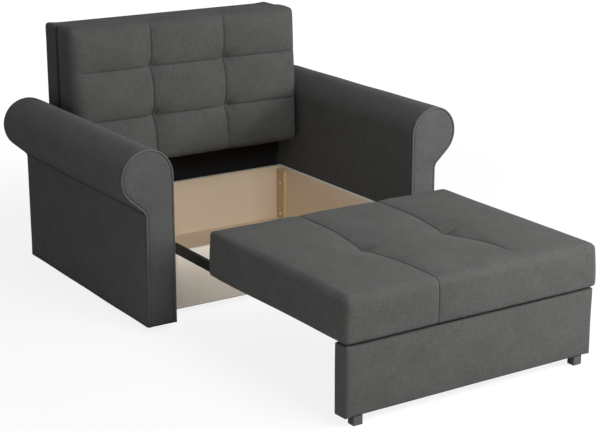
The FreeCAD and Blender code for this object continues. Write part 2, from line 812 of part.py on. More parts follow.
def leaf(x, to_rear):
    """One hinge leaf of the seam: the rear one carries the pin, the front one turns on it."""
    start = x - hinge_length / 2
    end = x + hinge_length / 2
    face = seam_behind + (seam_gap / 2 if to_rear else -seam_gap / 2)
    y0, y1 = (face - leaf_thickness, face) if to_rear else (face, face + leaf_thickness)
    top = fold_z - knuckle_radius - knuckle_gap
    piece = block(start, end, y0, y1, top - leaf_height, top)
    for low, high in [(0, 0.25), (0.75, 1)] if to_rear else [(0.25, 0.75)]:
        x0 = start + hinge_length * low + knuckle_gap / 2
        x1 = start + hinge_length * high - knuckle_gap / 2
        tab = block(x0, x1, y0, y1, top - past, fold_z)
        piece = joined(piece, tab, rod(x0, x1, seam_behind, fold_z, knuckle_radius))
    if to_rear:
        return joined(piece, rod(start, end, seam_behind, fold_z, hinge_pin_radius))
    return without(piece, [rod(start, end, seam_behind, fold_z, hinge_pin_radius + hinge_pin_play)])


def pivot_parts():
    """Bolted plates on the arms with the riveted pins that the back turns on."""
    plate_x = inner_x - plate_thickness
    strap_x = rear_layer_width / 2
    rivet_x = strap_x - rivet_gap - rivet_thickness
    top = pivot_z + plate_height * 0.7
    low = pivot_z - plate_height * 0.3
    front = pivot_y - plate_width / 2
    rear = pivot_y + plate_width / 2
    corner = plate_corner
    plate = prism("yz", plate_x, inner_x, [
        (front, low, corner), (rear, low, corner), (rear, top, corner), (front, top, corner),
    ])
    inset = plate_bolt_inset
    heads = []
    for y, z in [(front + inset, top - inset), (rear - inset, top - inset), (pivot_y, low + inset)]:
        heads.append(hexagon(plate_x - bolt_head, plate_x, y, z, bolt_head_radius))
    step = rod(strap_x + bracket_thickness + past, plate_x, pivot_y, pivot_z, 2 * pivot_radius)
    pin = rod(rivet_x, plate_x, pivot_y, pivot_z, pivot_radius)
    rivet = rod(rivet_x, rivet_x + rivet_thickness, pivot_y, pivot_z, rivet_radius)
    return sided("pivot_plate_{}", [joined(plate, step, pin, rivet, *heads)])


def side_bracket():
    """Right-hand steel strap between the pivot and the rear layer, with its bolt heads."""
    x0 = rear_layer_width / 2
    x1 = x0 + bracket_thickness
    top_y = pivot_y + bracket_lean
    top_z = pivot_z + bracket_rise
    tilt = math.atan2(bracket_lean, bracket_rise)
    across = Vector(0, math.cos(tilt), -math.sin(tilt)) * bracket_half
    low = Vector(x0, pivot_y, pivot_z)
    high = Vector(x0, top_y, top_z)
    web = Part.Face(Part.makePolygon([low + across, high + across, high - across, low - across, low + across]))
    strap = joined(web.extrude(Vector(bracket_thickness, 0, 0)),
                   rod(x0, x1, pivot_y, pivot_z, bracket_half), rod(x0, x1, top_y, top_z, bracket_half))
    strap = without(strap, [rod(x0 - past, x1 + past, pivot_y, pivot_z, pivot_radius + pivot_play)])
    next_y = top_y - bolt_pitch * math.tan(tilt)
    heads = [hexagon(x1, x1 + bolt_head, top_y, top_z, bolt_head_radius),
             hexagon(x1, x1 + bolt_head, next_y, top_z - bolt_pitch, bolt_head_radius)]
    return joined(strap, *heads)


def back():
    """Both layers of the back with what joins them to each other and to the arms."""
    z0 = back_bottom + back_frame_inset
    z1 = back_top - rear_layer_drop - back_frame_inset
    rear_front = seam_behind + seam_gap / 2 + back_frame_cover
    rear_half = rear_layer_width / 2 - back_frame_inset
    rear_frame = ladder(rear_half, rear_front, rear_front + rear_frame_thickness, z0, z1)
    front_rear = seam_behind - seam_gap / 2 - back_frame_cover
    front_half = front_layer_width / 2 - back_frame_inset
    front_frame = ladder(front_half, front_rear - front_frame_thickness, front_rear, z0, z1)
    return {
        "back_rear_frame": rear_frame,
        "back_rear_cushion": [rear_cushion(rear_frame)],
        **sided("back_bracket_{}", [side_bracket()]),
        "seam_hinge_rear_leaves": [leaf(x, True) for x in (-hinge_x, hinge_x)],
        "back_front_frame": front_frame,
        "back_front_cushion": [front_cushion(front_frame)],
        "seam_hinge_front_leaves": [leaf(x, False) for x in (-hinge_x, hinge_x)],
    }


def build():
    """All nodes, each a list of solids, moved to the part's own origin."""
    nodes = {}
    for group in (arms(), bedding_box(), box_rollers(), runners(), seat(), pivot_parts(), back()):
        nodes.update(group)
    for solids in nodes.values():
        for solid in solids:
            solid.translate(Vector(0, centre_shift, 0))
    return nodes


def export(nodes):
    """One STEP file per node."""
    os.makedirs("parts", exist_ok=True)
    for name, solids in nodes.items():
        shape = solids[0] if len(solids) == 1 else Part.makeCompound(solids)
        if not shape.isValid():
            raise ValueError(f"{name} is not a valid solid")
        shape.exportStep(f"parts/{name}.step")


if __name__ == "__main__":
    pieces = build()
    export(pieces)
    print("nodes", len(pieces))
    print("seat travel", seat_travel, "runner travel", runner_travel)
    print("pivot", pivot_y + centre_shift, pivot_z, "fold axis", seam_behind + centre_shift, fold_z)
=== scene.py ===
"""Looks of a pull-out chair bed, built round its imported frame.

Lengths are in metres in the frame's own axes: +X to the right of someone facing the seat,
+Y to the rear, +Z up. The seat is drawn out and the back stands upright.
"""

import logging
import math
from collections.abc import Callable
from dataclasses import dataclass, field
from enum import Enum

import bmesh
import bpy
import numpy as np
from mathutils import Matrix, Vector


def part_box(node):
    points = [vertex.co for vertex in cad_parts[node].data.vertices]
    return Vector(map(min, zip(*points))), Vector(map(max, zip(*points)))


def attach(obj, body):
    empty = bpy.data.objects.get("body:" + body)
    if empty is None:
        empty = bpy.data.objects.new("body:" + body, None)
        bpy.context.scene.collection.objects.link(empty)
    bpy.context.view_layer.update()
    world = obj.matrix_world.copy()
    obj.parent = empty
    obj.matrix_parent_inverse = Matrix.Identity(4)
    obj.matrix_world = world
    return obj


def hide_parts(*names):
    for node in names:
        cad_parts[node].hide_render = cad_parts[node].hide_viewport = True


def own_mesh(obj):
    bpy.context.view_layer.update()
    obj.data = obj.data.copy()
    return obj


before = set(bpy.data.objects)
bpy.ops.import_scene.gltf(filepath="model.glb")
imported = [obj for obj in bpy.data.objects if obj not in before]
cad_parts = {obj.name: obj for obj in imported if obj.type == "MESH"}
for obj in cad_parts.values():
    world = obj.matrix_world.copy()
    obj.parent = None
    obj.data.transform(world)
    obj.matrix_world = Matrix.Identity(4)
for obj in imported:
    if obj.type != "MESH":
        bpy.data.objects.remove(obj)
log = logging.getLogger("chair_bed")

Triple = tuple[float, float, float]
Form = bmesh.types.BMesh
Point = bmesh.types.BMVert
Face = bmesh.types.BMFace
Edge = bmesh.types.BMEdge
Piece = bpy.types.Object
Material = bpy.types.Material
Socket = bpy.types.NodeSocket

X, Y, Z = 0, 1, 2
FAR_OFF = 9.0  # beyond every piece, for a bound that holds nothing back
HAIR = 0.0005  # how near a grid line a point counts as lying on it

# Grid of a pad: its lines across an edge radius, and the most of the size that an edge takes
EDGE_LINES = (0.35, 0.7, 1.0)
WIDEST_EDGE = 0.45
CROWN_POWER = 3.2

# Which way a point looks, from not at all to fully
ON_BEST_SIDE = (0.15, 0.75)
ON_BACK = (0.3, 0.8)
ACROSS_SEAM = (0.35, 0.8)

# Stitching: loops cut beside a seam, half-widths of its groove and of the painted shade line along it
SEAM_LOOPS = (-0.0075, -0.0035, -0.0015, 0.0, 0.0015, 0.0035, 0.0075)
GROOVE = 0.0020
SEAM_SHADE_WIDTH = 0.0016
# Band of painted shade on a pad's sides where they meet the part behind
GAP_SHADE_BAND = (0.004, 0.012)
CREASE_WIDTHS = (0.009, 0.022)
CREASE_START = 0.010

# Simulated cloth between its pins
PIN_DEPTH = 0.004
CLOTH = {
    "quality": 4, "mass": 0.35, "tension_stiffness": 25, "compression_stiffness": 12, "shear_stiffness": 8,
    "bending_stiffness": 1.2, "use_pressure": True, "vertex_group_mass": "held",
}
CLOTH_FRAMES = 20
SINKING_UNDONE = 0.85


class Side(Enum):
    """The two sides of the chair bed, as the sign of X."""

    LEFT = -1
    RIGHT = 1

    @property
    def word(self) -> str:
        """The side as it stands in node names."""
        return self.name.lower()


class Graph:
    """A node tree that is being wired."""

    def __init__(self, tree: bpy.types.NodeTree) -> None:
        """Keeps the tree that new nodes go into."""
        self.tree = tree

    def feed(self, target: bpy.types.Node, inputs: dict) -> None:
        """Links sockets to a node's inputs and sets plain values on them.

        Args:
            target: the node.
            inputs: sockets or values, by the input's name or number.
        """
        for key, value in inputs.items():
            if isinstance(value, Socket):
                self.tree.links.new(value, target.inputs[key])
            else:
                target.inputs[key].default_value = value

    def node(self, kind: str, inputs: dict | None = None, **settings: object) -> bpy.types.Node:
        """Adds a shader node.

        Args:
            kind: the node's type without its ShaderNode prefix.
            inputs: sockets or values for its inputs, by name or number.
            settings: properties of the node itself.

        Returns:
            The new node.
        """
        made = self.tree.nodes.new("ShaderNode" + kind)
        for key, value in settings.items():
            setattr(made, key, value)
        self.feed(made, inputs or {})
        return made

    def math(self, operation: str, a: object, b: object = 0.0) -> Socket:
        """The result of a Math node."""
        return self.node("Math", {0: a, 1: b}, operation=operation).outputs[0]

    def plus(self, a: object, b: object) -> Socket:
        """The sum of two values."""
        return self.math("ADD", a, b)

    def minus(self, a: object, b: object) -> Socket:
        """The difference of two values."""
        return self.math("SUBTRACT", a, b)

    def times(self, a: object, b: object) -> Socket:
        """The product of two values."""
        return self.math("MULTIPLY", a, b)

    def scaled(self, vector: object, factor: object) -> Socket:
        """A colour or a place multiplied by one value."""
        return self.node("VectorMath", {0: vector, "Scale": factor}, operation="SCALE").outputs[0]

    def spread(self, value: object, low: float, high: float, to_low: object, to_high: object) -> Socket:
        """A value mapped from one range onto another and held inside it."""
        return self.node("MapRange", {0: value, 1: low, 2: high, 3: to_low, 4: to_high}).outputs[0]

    def noise(self, place: Socket, stretch: object, detail: float, roughness: float = 0.5,
              distortion: float = 0.0) -> Socket:
        """Noise over a place.

        Args:
            place: the place.
            stretch: cells a metre along each axis.
            detail: octaves.
            roughness: how strong the finer octaves are.
            distortion: how far the cells are bent.

        Returns:
            The noise, from 0 to 1.
        """
        vector = self.node("VectorMath", {0: place, 1: stretch}, operation="MULTIPLY").outputs[0]
        given = {"Vector": vector, "Scale": 1.0, "Detail": detail, "Roughness": roughness,
                 "Distortion": distortion}
        return self.node("TexNoise", given).outputs[0]

    def between(self, factor: Socket, a: object, b: object) -> Socket:
        """A colour between two colours, each a socket or a triple."""
        ends = [(*end, 1.0) if isinstance(end, tuple) else end for end in (a, b)]
        return self.node("Mix", {0: factor, 6: ends[0], 7: ends[1]}, data_type="RGBA").outputs[2]

    def place(self) -> Socket:
        """The place on the object."""
        return self.node("TexCoord").outputs["Object"]

    def surface(self, shader: bpy.types.Node, colour: Socket, relief: Socket, strength: float,
                depth: float) -> None:
        """Gives a shader its colour and its bump.

        Args:
            shader: the shader's node.
            colour: its colour over the surface.
            relief: the height over the surface.
            strength: how much of the relief shows.
            depth: the relief's depth in metres.
        """
        bump = self.node("Bump", {"Strength": strength, "Distance": depth, "Height": relief})
        self.feed(shader, {"Base Color": colour, "Normal": bump.outputs[0]})


def effect_group(name: str, inputs: dict[str, float | None],
                 outputs: list[str]) -> tuple[Graph, dict[str, Socket], bpy.types.Node]:
    """Starts a node group that several finishes share.

    Args:
        name: the group's name.
        inputs: input names with their usual values, None for a vector.
        outputs: names of the values that the group puts out.

    Returns:
        Its graph, its input sockets by name and its output node.
    """
    tree = bpy.data.node_groups.new(name, "ShaderNodeTree")
    for label, usual in inputs.items():
        kind = "NodeSocketVector" if usual is None else "NodeSocketFloat"
        socket = tree.interface.new_socket(label, in_out="INPUT", socket_type=kind)
        if usual is not None:
            socket.default_value = usual
    for label in outputs:
        tree.interface.new_socket(label, in_out="OUTPUT", socket_type="NodeSocketFloat")
    source = tree.nodes.new("NodeGroupInput")
    return Graph(tree), {label: source.outputs[label] for label in inputs}, tree.nodes.new("NodeGroupOutput")


class Effects:
    """Node groups that are built once and placed in each material."""

    def __init__(self) -> None:
        """Builds the groups."""
        self.weave = self._weave()
        self.grain = self._grain()
        self.peel = self._peel()

    @staticmethod
    def _weave() -> bpy.types.NodeTree:
        """Plain weave with slubs: thread relief, and a tone that varies by thread and by patch."""
        usual = {"Cloth": None, "Place": None, "Pitch": 0.0012, "Slub": 0.2, "Patch": 0.1}
        graph, given, sink = effect_group("weave", usual, ["Relief", "Tone"])
        parts = graph.node("SeparateXYZ", {0: given["Cloth"]}).outputs
        turns = [graph.times(graph.math("DIVIDE", parts[axis], given["Pitch"]), math.pi) for axis in (X, Y)]
        warp, weft = [graph.math("SINE", turn) for turn in turns]
        over = graph.spread(graph.times(warp, weft), -0.6, 0.6, 0.0, 1.0)
        lifted = graph.times(graph.math("ABSOLUTE", warp), over)
        sunk = graph.times(graph.math("ABSOLUTE", weft), graph.minus(1.0, over))
        threads = graph.plus(lifted, sunk)
        slub_across, slub_along = [graph.noise(given["Cloth"], stretch, 3.0, 0.62)
                                   for stretch in ((22.0, 230.0, 1.0), (230.0, 22.0, 1.0))]
        slubs = graph.minus(graph.plus(slub_across, slub_along), 1.0)
        patches = graph.minus(graph.noise(given["Place"], (9.0, 9.0, 9.0), 4.0, 0.6), 0.5)
        tone = graph.plus(graph.times(slubs, given["Slub"]), graph.times(patches, given["Patch"]))
        tone = graph.plus(graph.plus(tone, 0.94), graph.times(threads, 0.12))
        graph.feed(sink, {"Relief": graph.plus(threads, graph.times(slubs, 1.4)), "Tone": tone})
        return graph.tree

    @staticmethod
    def _grain() -> bpy.types.NodeTree:
        """Wood grain along one axis, with fine pores."""
        usual = {"Place": None, "Stretch": None, "Depth": 0.3}
        graph, given, sink = effect_group("grain", usual, ["Relief", "Tone"])
        bands = graph.noise(given["Place"], given["Stretch"], 5.0, 0.62, 0.6)
        pores = graph.noise(graph.scaled(given["Place"], 5.0), given["Stretch"], 2.0)
        mixed = graph.plus(graph.times(bands, 0.75), graph.times(pores, 0.25))
        swing = graph.times(graph.minus(mixed, 0.5), given["Depth"])
        graph.feed(sink, {"Relief": mixed, "Tone": graph.plus(swing, 1.0)})
        return graph.tree

    @staticmethod
    def _peel() -> bpy.types.NodeTree:
        """Fine orange peel of a coat or moulding, with handling marks in its gloss."""
        usual = {"Place": None, "Size": 900.0, "Gloss": 0.4, "Marks": 0.1}
        graph, given, sink = effect_group("peel", usual, ["Relief", "Gloss", "Tone"])
        peel = graph.noise(graph.scaled(given["Place"], given["Size"]), (1.0, 1.0, 1.0), 2.0)
        smears = graph.noise(given["Place"], (30.0, 30.0, 30.0), 4.0, 0.65)
        swing = graph.times(graph.minus(smears, 0.5), given["Marks"])
        graph.feed(sink, {"Relief": peel, "Gloss": graph.plus(given["Gloss"], swing),
                          "Tone": graph.plus(1.0, graph.times(swing, 0.8))})
        return graph.tree


@dataclass(frozen=True)
class Finish:
    """A finish's name and main colour. Each kind of finish wires its own nodes."""

    name: str
    colour: Triple

    def begin(self, **constants: object) -> tuple[Material, Graph, bpy.types.Node]:
        """Starts the finish's material.

        Args:
            constants: values of the shader's own sockets, with _ for each space.

        Returns:
            The material, its graph and its shader node.
        """
        made = bpy.data.materials.new(self.name)
        made.use_nodes = True
        shader = made.node_tree.nodes["Principled BSDF"]
        for key, value in constants.items():
            shader.inputs[key.replace("_", " ")].default_value = value
        return made, Graph(made.node_tree), shader


@dataclass(frozen=True)
class Fabric(Finish):
    """Woven upholstery cloth, darkened by an attribute of the piece as painted shade along seams, creases and
    gaps.
    """

    pitch: float = 0.0012
    slub: float = 0.60
    patch: float = 0.40
    by_uv: bool = True
    seam_tone: float = 0.3

    def material(self, effects: Effects) -> Material:
        """Builds the cloth.

        Args:
            effects: the shared node groups.

        Returns:
            The material.
        """
        made, graph, shader = self.begin(
            Roughness=0.95, Specular_IOR_Level=0.10, Sheen_Weight=0.04, Sheen_Roughness=0.5)
        place = graph.place()
        cloth = graph.node("UVMap", uv_map="cloth").outputs[0] if self.by_uv else place
        weave = graph.node("Group", {"Cloth": cloth, "Place": place, "Pitch": self.pitch, "Slub": self.slub,
                                     "Patch": self.patch}, node_tree=effects.weave).outputs
        # painted shade: the seam attribute darkens the cloth in grooves, creases and gaps
        seam = graph.node("Attribute", attribute_name="seam").outputs["Fac"]
        shade = graph.times(weave["Tone"], graph.spread(seam, 0.0, 1.0, 1.0, self.seam_tone))
        graph.surface(shader, graph.scaled(self.colour, shade), weave["Relief"], 0.5, 0.0004)
        return made


@dataclass(frozen=True)
class FacedBoard(Finish):
    """Faced chipboard whose upper cut edges are paler: partly the cut edge's own colour, partly a painted
    highlight on the tops.
    """

    edge: Triple = (0.92, 0.88, 0.80)
    stretch: Triple = (9.0, 9.0, 1.2)
    depth: float = 0.12
    edge_above: float = 0.24

    def material(self, effects: Effects) -> Material:
        """Builds the board's face and its cut edges.

        Args:
            effects: the shared node groups.

        Returns:
            The material.
        """
        made, graph, shader = self.begin(Specular_IOR_Level=0.35)
        place = graph.place()
        grain = graph.node("Group", {"Place": place, "Stretch": self.stretch, "Depth": self.depth},
                           node_tree=effects.grain).outputs
        height = graph.node("SeparateXYZ", {0: place}).outputs[Z]
        upward = graph.node("SeparateXYZ", {0: graph.node("NewGeometry").outputs["Normal"]}).outputs[Z]
        # top: the upward cut edge, paler partly as a painted highlight
        top = graph.times(graph.spread(upward, 0.6, 0.9, 0.0, 1.0),
                          graph.spread(height, self.edge_above - 0.003, self.edge_above, 0.0, 1.0))
        chips = graph.noise(place, (700.0, 700.0, 700.0), 2.0)
        cut = graph.scaled(self.edge, graph.spread(chips, 0.3, 0.7, 0.9, 1.06))
        face = graph.scaled(self.colour, grain["Tone"])
        relief = graph.plus(grain["Relief"], graph.times(top, chips))
        graph.surface(shader, graph.between(top, face, cut), relief, 0.2, 0.0003)
        graph.feed(shader, {"Roughness": graph.spread(grain["Relief"], 0.3, 0.7, 0.5, 0.62)})
        return made


@dataclass(frozen=True)
class BareWood(Finish):
    """Planed softwood or bare fibreboard."""

    dark: Triple
    stretch: Triple

    def material(self, effects: Effects) -> Material:
        """Builds the wood.

        Args:
            effects: the shared node groups.

        Returns:
            The material.
        """
        made, graph, shader = self.begin(Specular_IOR_Level=0.3)
        relief = graph.node("Group", {"Place": graph.place(), "Stretch": self.stretch},
                            node_tree=effects.grain).outputs["Relief"]
        figure = graph.spread(relief, 0.38, 0.62, 0.0, 1.0)
        graph.surface(shader, graph.between(figure, self.dark, self.colour), relief, 0.3, 0.0004)
        graph.feed(shader, {"Roughness": graph.spread(figure, 0.0, 1.0, 0.72, 0.58)})
        return made


@dataclass(frozen=True)
class Coat(Finish):
    """Powder coat, plating, paint or moulded plastic."""

    gloss: float
    metallic: float = 0.0
    size: float = 900.0
    marks: float = 0.12
    depth: float = 0.00006
    shine: float = 0.5

    def material(self, effects: Effects) -> Material:
        """Builds the coat.

        Args:
            effects: the shared node groups.

        Returns:
            The material.
        """
        made, graph, shader = self.begin(Metallic=self.metallic, Specular_IOR_Level=self.shine)
        peel = graph.node("Group", {"Place": graph.place(), "Size": self.size, "Gloss": self.gloss,
                                    "Marks": self.marks}, node_tree=effects.peel).outputs
        graph.surface(shader, graph.scaled(self.colour, peel["Tone"]), peel["Relief"], 0.4, self.depth)
        graph.feed(shader, {"Roughness": peel["Gloss"]})
        return made


def new_piece(name: str, form: Form, finish: Material) -> Piece:
    """Turns a form into a smooth-shaded object of the scene.

    Args:
        name: the piece's name.
        form: its form, which is freed.
        finish: the piece's material.

    Returns:
        The object.
    """
    mesh = bpy.data.meshes.new(name)
    form.to_mesh(mesh)
    form.free()
    mesh.shade_smooth()
    mesh.materials.append(finish)
    made = bpy.data.objects.new(name, mesh)
    bpy.context.scene.collection.objects.link(made)
    return made


def settle(piece: Piece, body: str, slot: str, *nodes: str, fill: float | None = None) -> None:
    """Lets a piece ride on its body in place of CAD nodes.

    Args:
        piece: the finished piece.
        body: the body that it moves with.
        slot: the record's material slot; not used.
        nodes: the CAD nodes that it stands for.
        fill: how tightly it is stuffed, where it is padded; not used.
    """
    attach(piece, body)
    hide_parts(*nodes)
    log.info("%s: %d faces on %s", piece.name, len(piece.data.polygons), body)


def points_of(mesh: bpy.types.Mesh) -> np.ndarray:
    """A mesh's points as an array.

    Args:
        mesh: the mesh.

    Returns:
        One row for each point.
    """
    flat = np.zeros(len(mesh.vertices) * 3, np.float32)
    mesh.vertices.foreach_get("co", flat)
    return flat.reshape(-1, 3).astype(float)


def smooth_step(value: np.ndarray, low: float, high: float) -> np.ndarray:
    """Runs from 0 at low to 1 at high with soft ends."""
    share = np.clip((value - low) / (high - low), 0.0, 1.0)
    return share * share * (3.0 - 2.0 * share)


def only(kind: type, geometry: list) -> list:
    """The points, edges or faces among the geometry that an operator gives back."""
    return [item for item in geometry if isinstance(item, kind)]


def slice_at(form: Form, axis: int, at: float, near: float = 0.0) -> None:
    """Cuts a form square across an axis.

    Args:
        form: the form.
        axis: the axis.
        at: the place along it.
        near: how close a point may lie to count as on the cut.
    """
    normal = Vector([float(index == axis) for index in range(3)])
    bmesh.ops.bisect_plane(form, geom=form.verts[:] + form.edges[:] + form.faces[:], dist=near,
                           plane_co=normal * at, plane_no=normal)


def lay_cloth(form: Form, flat: Callable[[Face, Point], tuple[float, float]]) -> None:
    """Gives a form its UV map: the flat place on the cloth, in metres.

    Args:
        form: the form.
        flat: the place on the cloth of a face's corner.
    """
    layer = form.loops.layers.uv.new("cloth")
    for face in form.faces:
        for corner in face.loops:
            corner[layer].uv = flat(face, corner.vert)


@dataclass
class Seam:
    """A stitched line at one coordinate of one axis, drawn in on the faces that look its way, with painted
    shade along its groove.
    """

    axis: int
    at: float
    depth: float = 0.004
    reach: float = 0.016
    fade_axis: int = Y
    fade_from: float = -FAR_OFF
    fade_to: float = -FAR_OFF
    # dark: how deep the painted shade along the seam's groove is
    dark: float = 0.7


@dataclass
class Tuft:
    """A stitched-down point and the creases that run from it: angle in degrees, length, depth."""

    place: tuple[float, float]
    depth: float = 0.012
    reach: float = 0.032
    creases: tuple[tuple[float, float, float], ...] = ()


@dataclass
class Pad:
    """A stuffed block of cloth: a cut box with rounded edges, seams, tufts and a blown-up skin.

    near and far are the edge radii along X, Y and Z on the best side and on the side away from
    it. A higher square keeps the corners of the outline tighter than its edges. room is the
    space that the stuffed pad may fill, and cuts are further grid lines along each axis.
    """

    name: str
    low: Vector
    high: Vector
    faces: Vector
    near: Triple
    far: Triple
    square: float = 4.0
    cell: float = 0.011
    fields: tuple[tuple[float, ...], tuple[float, ...]] = ((), ())
    bulge: float = 0.0
    seams: list[Seam] = field(default_factory=list)
    tufts: list[Tuft] = field(default_factory=list)
    swell: Triple = (0.0, 0.0, 0.0)
    swell_over: tuple[float, float] = (-2.0, -1.0)
    # painted shade where the pad's sides meet the part behind it
    rim: float = 0.0
    pressure: float = 4.0
    slack: float = 0.004
    cap: float = 0.005
    calm: int = 10
    cuts: tuple[tuple[float, ...], ...] = ((), (), ())
    room: tuple[Triple, Triple] = ((-FAR_OFF,) * 3, (FAR_OFF,) * 3)

    def __post_init__(self) -> None:
        """Finds the axis that the pad's best side looks along, and the two axes of that side."""
        self.depth_axis = max(range(3), key=lambda axis: abs(self.faces[axis]))
        self.plane = [axis for axis in range(3) if axis != self.depth_axis]

    def block(self) -> Form:
        """Cuts a box into cells whose lines follow the seams and crowd at the edges.

        Returns:
            The box, with the cloth laid on it.
        """
        form = bmesh.new()
        bmesh.ops.create_cube(form, size=1.0)
        size = self.high - self.low
        bmesh.ops.scale(form, vec=size, verts=form.verts)
        bmesh.ops.translate(form, vec=(self.low + self.high) / 2, verts=form.verts)
        for axis in range(3):
            edge = min(max(self.near[axis], self.far[axis]), size[axis] * WIDEST_EDGE)
            fixed = {self.low[axis] + edge * share for share in EDGE_LINES}
            fixed |= {self.high[axis] - edge * share for share in EDGE_LINES}
            fixed |= {seam.at for seam in self.seams if seam.axis == axis}
            lines = sorted(fixed | set(self.cuts[axis]))
            for start, end in list(zip(lines, lines[1:])):
                count = max(1, round((end - start) / self.cell))
                lines += [start + (end - start) * step / count for step in range(1, count)]
            for line in sorted(lines):
                slice_at(form, axis, line)
        form.normal_update()
        lay_cloth(form, self.flat)
        return form

    @staticmethod
    def flat(face: Face, point: Point) -> tuple[float, float]:
        """The place of a point on the side of the box that a face belongs to.

        Args:
            face: the face.
            point: one of its points.

        Returns:
            The two coordinates that lie in that side.
        """
        away = max(range(3), key=lambda axis: abs(face.normal[axis]))
        first, second = [axis for axis in range(3) if axis != away]
        return point.co[first], point.co[second]

    def rounded(self, points: np.ndarray) -> tuple[np.ndarray, np.ndarray]:
        """Pulls the box onto its rounded form.

        Args:
            points: the box's points.

        Returns:
            The points and their outward directions.
        """
        low, high = np.array(self.low), np.array(self.high)
        axis = self.depth_axis
        sign = 1.0 if self.faces[axis] > 0 else -1.0
        span = high[axis] - low[axis]
        share = smooth_step(sign * (points[:, axis] - (low[axis] + high[axis]) / 2), -span * 0.3, span * 0.3)
        radius = self.radii(points, share)
        inner = np.clip(points, low + radius, high - radius)
        away = (points - inner) / radius
        lateral = (np.abs(away[:, self.plane]) ** self.square).sum(axis=1) ** (1.0 / self.square)
        unit = away / np.maximum(np.hypot(lateral, away[:, axis]), 1e-9)[:, None]
        outward = unit / np.maximum(np.linalg.norm(unit, axis=1, keepdims=True), 1e-9)
        return inner + unit * radius, outward

    def radii(self, points: np.ndarray, share: np.ndarray) -> np.ndarray:
        """Edge radii at each point, whose nearness to the best side is given."""
        near, far = np.array(self.near), np.array(self.far)
        return far + (near - far) * share[:, None]

    def facing(self, outward: np.ndarray) -> np.ndarray:
        """How far each point looks along the pad's best side, from 0 to 1."""
        return smooth_step(outward @ np.array(self.faces.normalized()), *ON_BEST_SIDE)

    def crown(self, points: np.ndarray) -> np.ndarray:
        """Rise of the stuffed fields above their seams.

        Args:
            points: the points.

        Returns:
            The rise of each point.
        """
        rise = np.ones(len(points))
        for axis, marks in zip(self.plane, self.fields):
            stops = [self.low[axis], *marks, self.high[axis]]
            place = np.clip(np.searchsorted(stops, points[:, axis], side="right") - 1, 0, len(stops) - 2)
            start = np.array(stops)[place]
            end = np.array(stops)[place + 1]
            middle = 2.0 * (points[:, axis] - start) / (end - start) - 1.0
            rise *= 1.0 - np.abs(middle) ** CROWN_POWER
        return rise * self.bulge

    def drawn_in(self, points: np.ndarray, outward: np.ndarray) -> tuple[np.ndarray, np.ndarray]:
        """How far the stitching pulls the cloth in, and the painted shade along seams and between layers.

        Args:
            points: the points.
            outward: their outward directions.

        Returns:
            The depth and the painted shade of each point.
        """
        depth = np.zeros(len(points))
        painted_shade = np.zeros(len(points))
        for seam in self.seams:
            gap = np.abs(points[:, seam.axis] - seam.at)
            seen = smooth_step(1.0 - np.abs(outward[:, seam.axis]), *ACROSS_SEAM) * self.seen(outward)
            if seam.fade_from != seam.fade_to:
                seen = seen * smooth_step(points[:, seam.fade_axis], seam.fade_from, seam.fade_to)
            depth += seen * (seam.depth * np.exp(-gap / seam.reach) + GROOVE * np.exp(-((gap / GROOVE) ** 2)))
            # painted shade along the seam's groove
            painted_shade = np.maximum(painted_shade, seam.dark * seen * np.exp(-((gap / SEAM_SHADE_WIDTH) ** 2)))
        # painted shade on the sides next to the face that meets the part behind the pad
        if self.rim:
            away = np.abs(points[:, self.depth_axis] - self.far_face())
            edge = np.linalg.norm(outward[:, self.plane], axis=1) > 0.15
            painted_shade = np.maximum(painted_shade, self.rim * edge * (1.0 - smooth_step(away, *GAP_SHADE_BAND)))
        return depth + self.facing(outward) * self.tufted(points), painted_shade

    def tufted(self, points: np.ndarray) -> np.ndarray:
        """How far the tufts and their creases pull the cloth in.

        Args:
            points: the points.

        Returns:
            The depth of each point.
        """
        depth = np.zeros(len(points))
        for tuft in self.tufts:
            across, along = (points[:, self.plane] - tuft.place).T
            depth += tuft.depth * np.exp(-np.hypot(across, along) / tuft.reach)
            for angle, length, strength in tuft.creases:
                turn = math.radians(angle)
                forward = across * math.cos(turn) + along * math.sin(turn)
                aside = -across * math.sin(turn) + along * math.cos(turn)
                share = np.clip(forward / length, 0.0, 1.0)
                width = CREASE_WIDTHS[0] + CREASE_WIDTHS[1] * share
                window = np.clip(forward / CREASE_START, 0.0, 1.0) * (1.0 - share) ** 2
                depth += strength * window * np.exp(-((aside / width) ** 2))
        return depth

    def far_face(self) -> float:
        """Place of the side that looks away, along the depth axis."""
        return (self.low if self.faces[self.depth_axis] > 0 else self.high)[self.depth_axis]

    def seen(self, outward: np.ndarray) -> np.ndarray:
        """Where seams show: on the best side only, unless a pad says otherwise."""
        return self.facing(outward)

    def shape(self, points: np.ndarray) -> np.ndarray:
        """Last change of the whole form, such as a lean."""
        return points

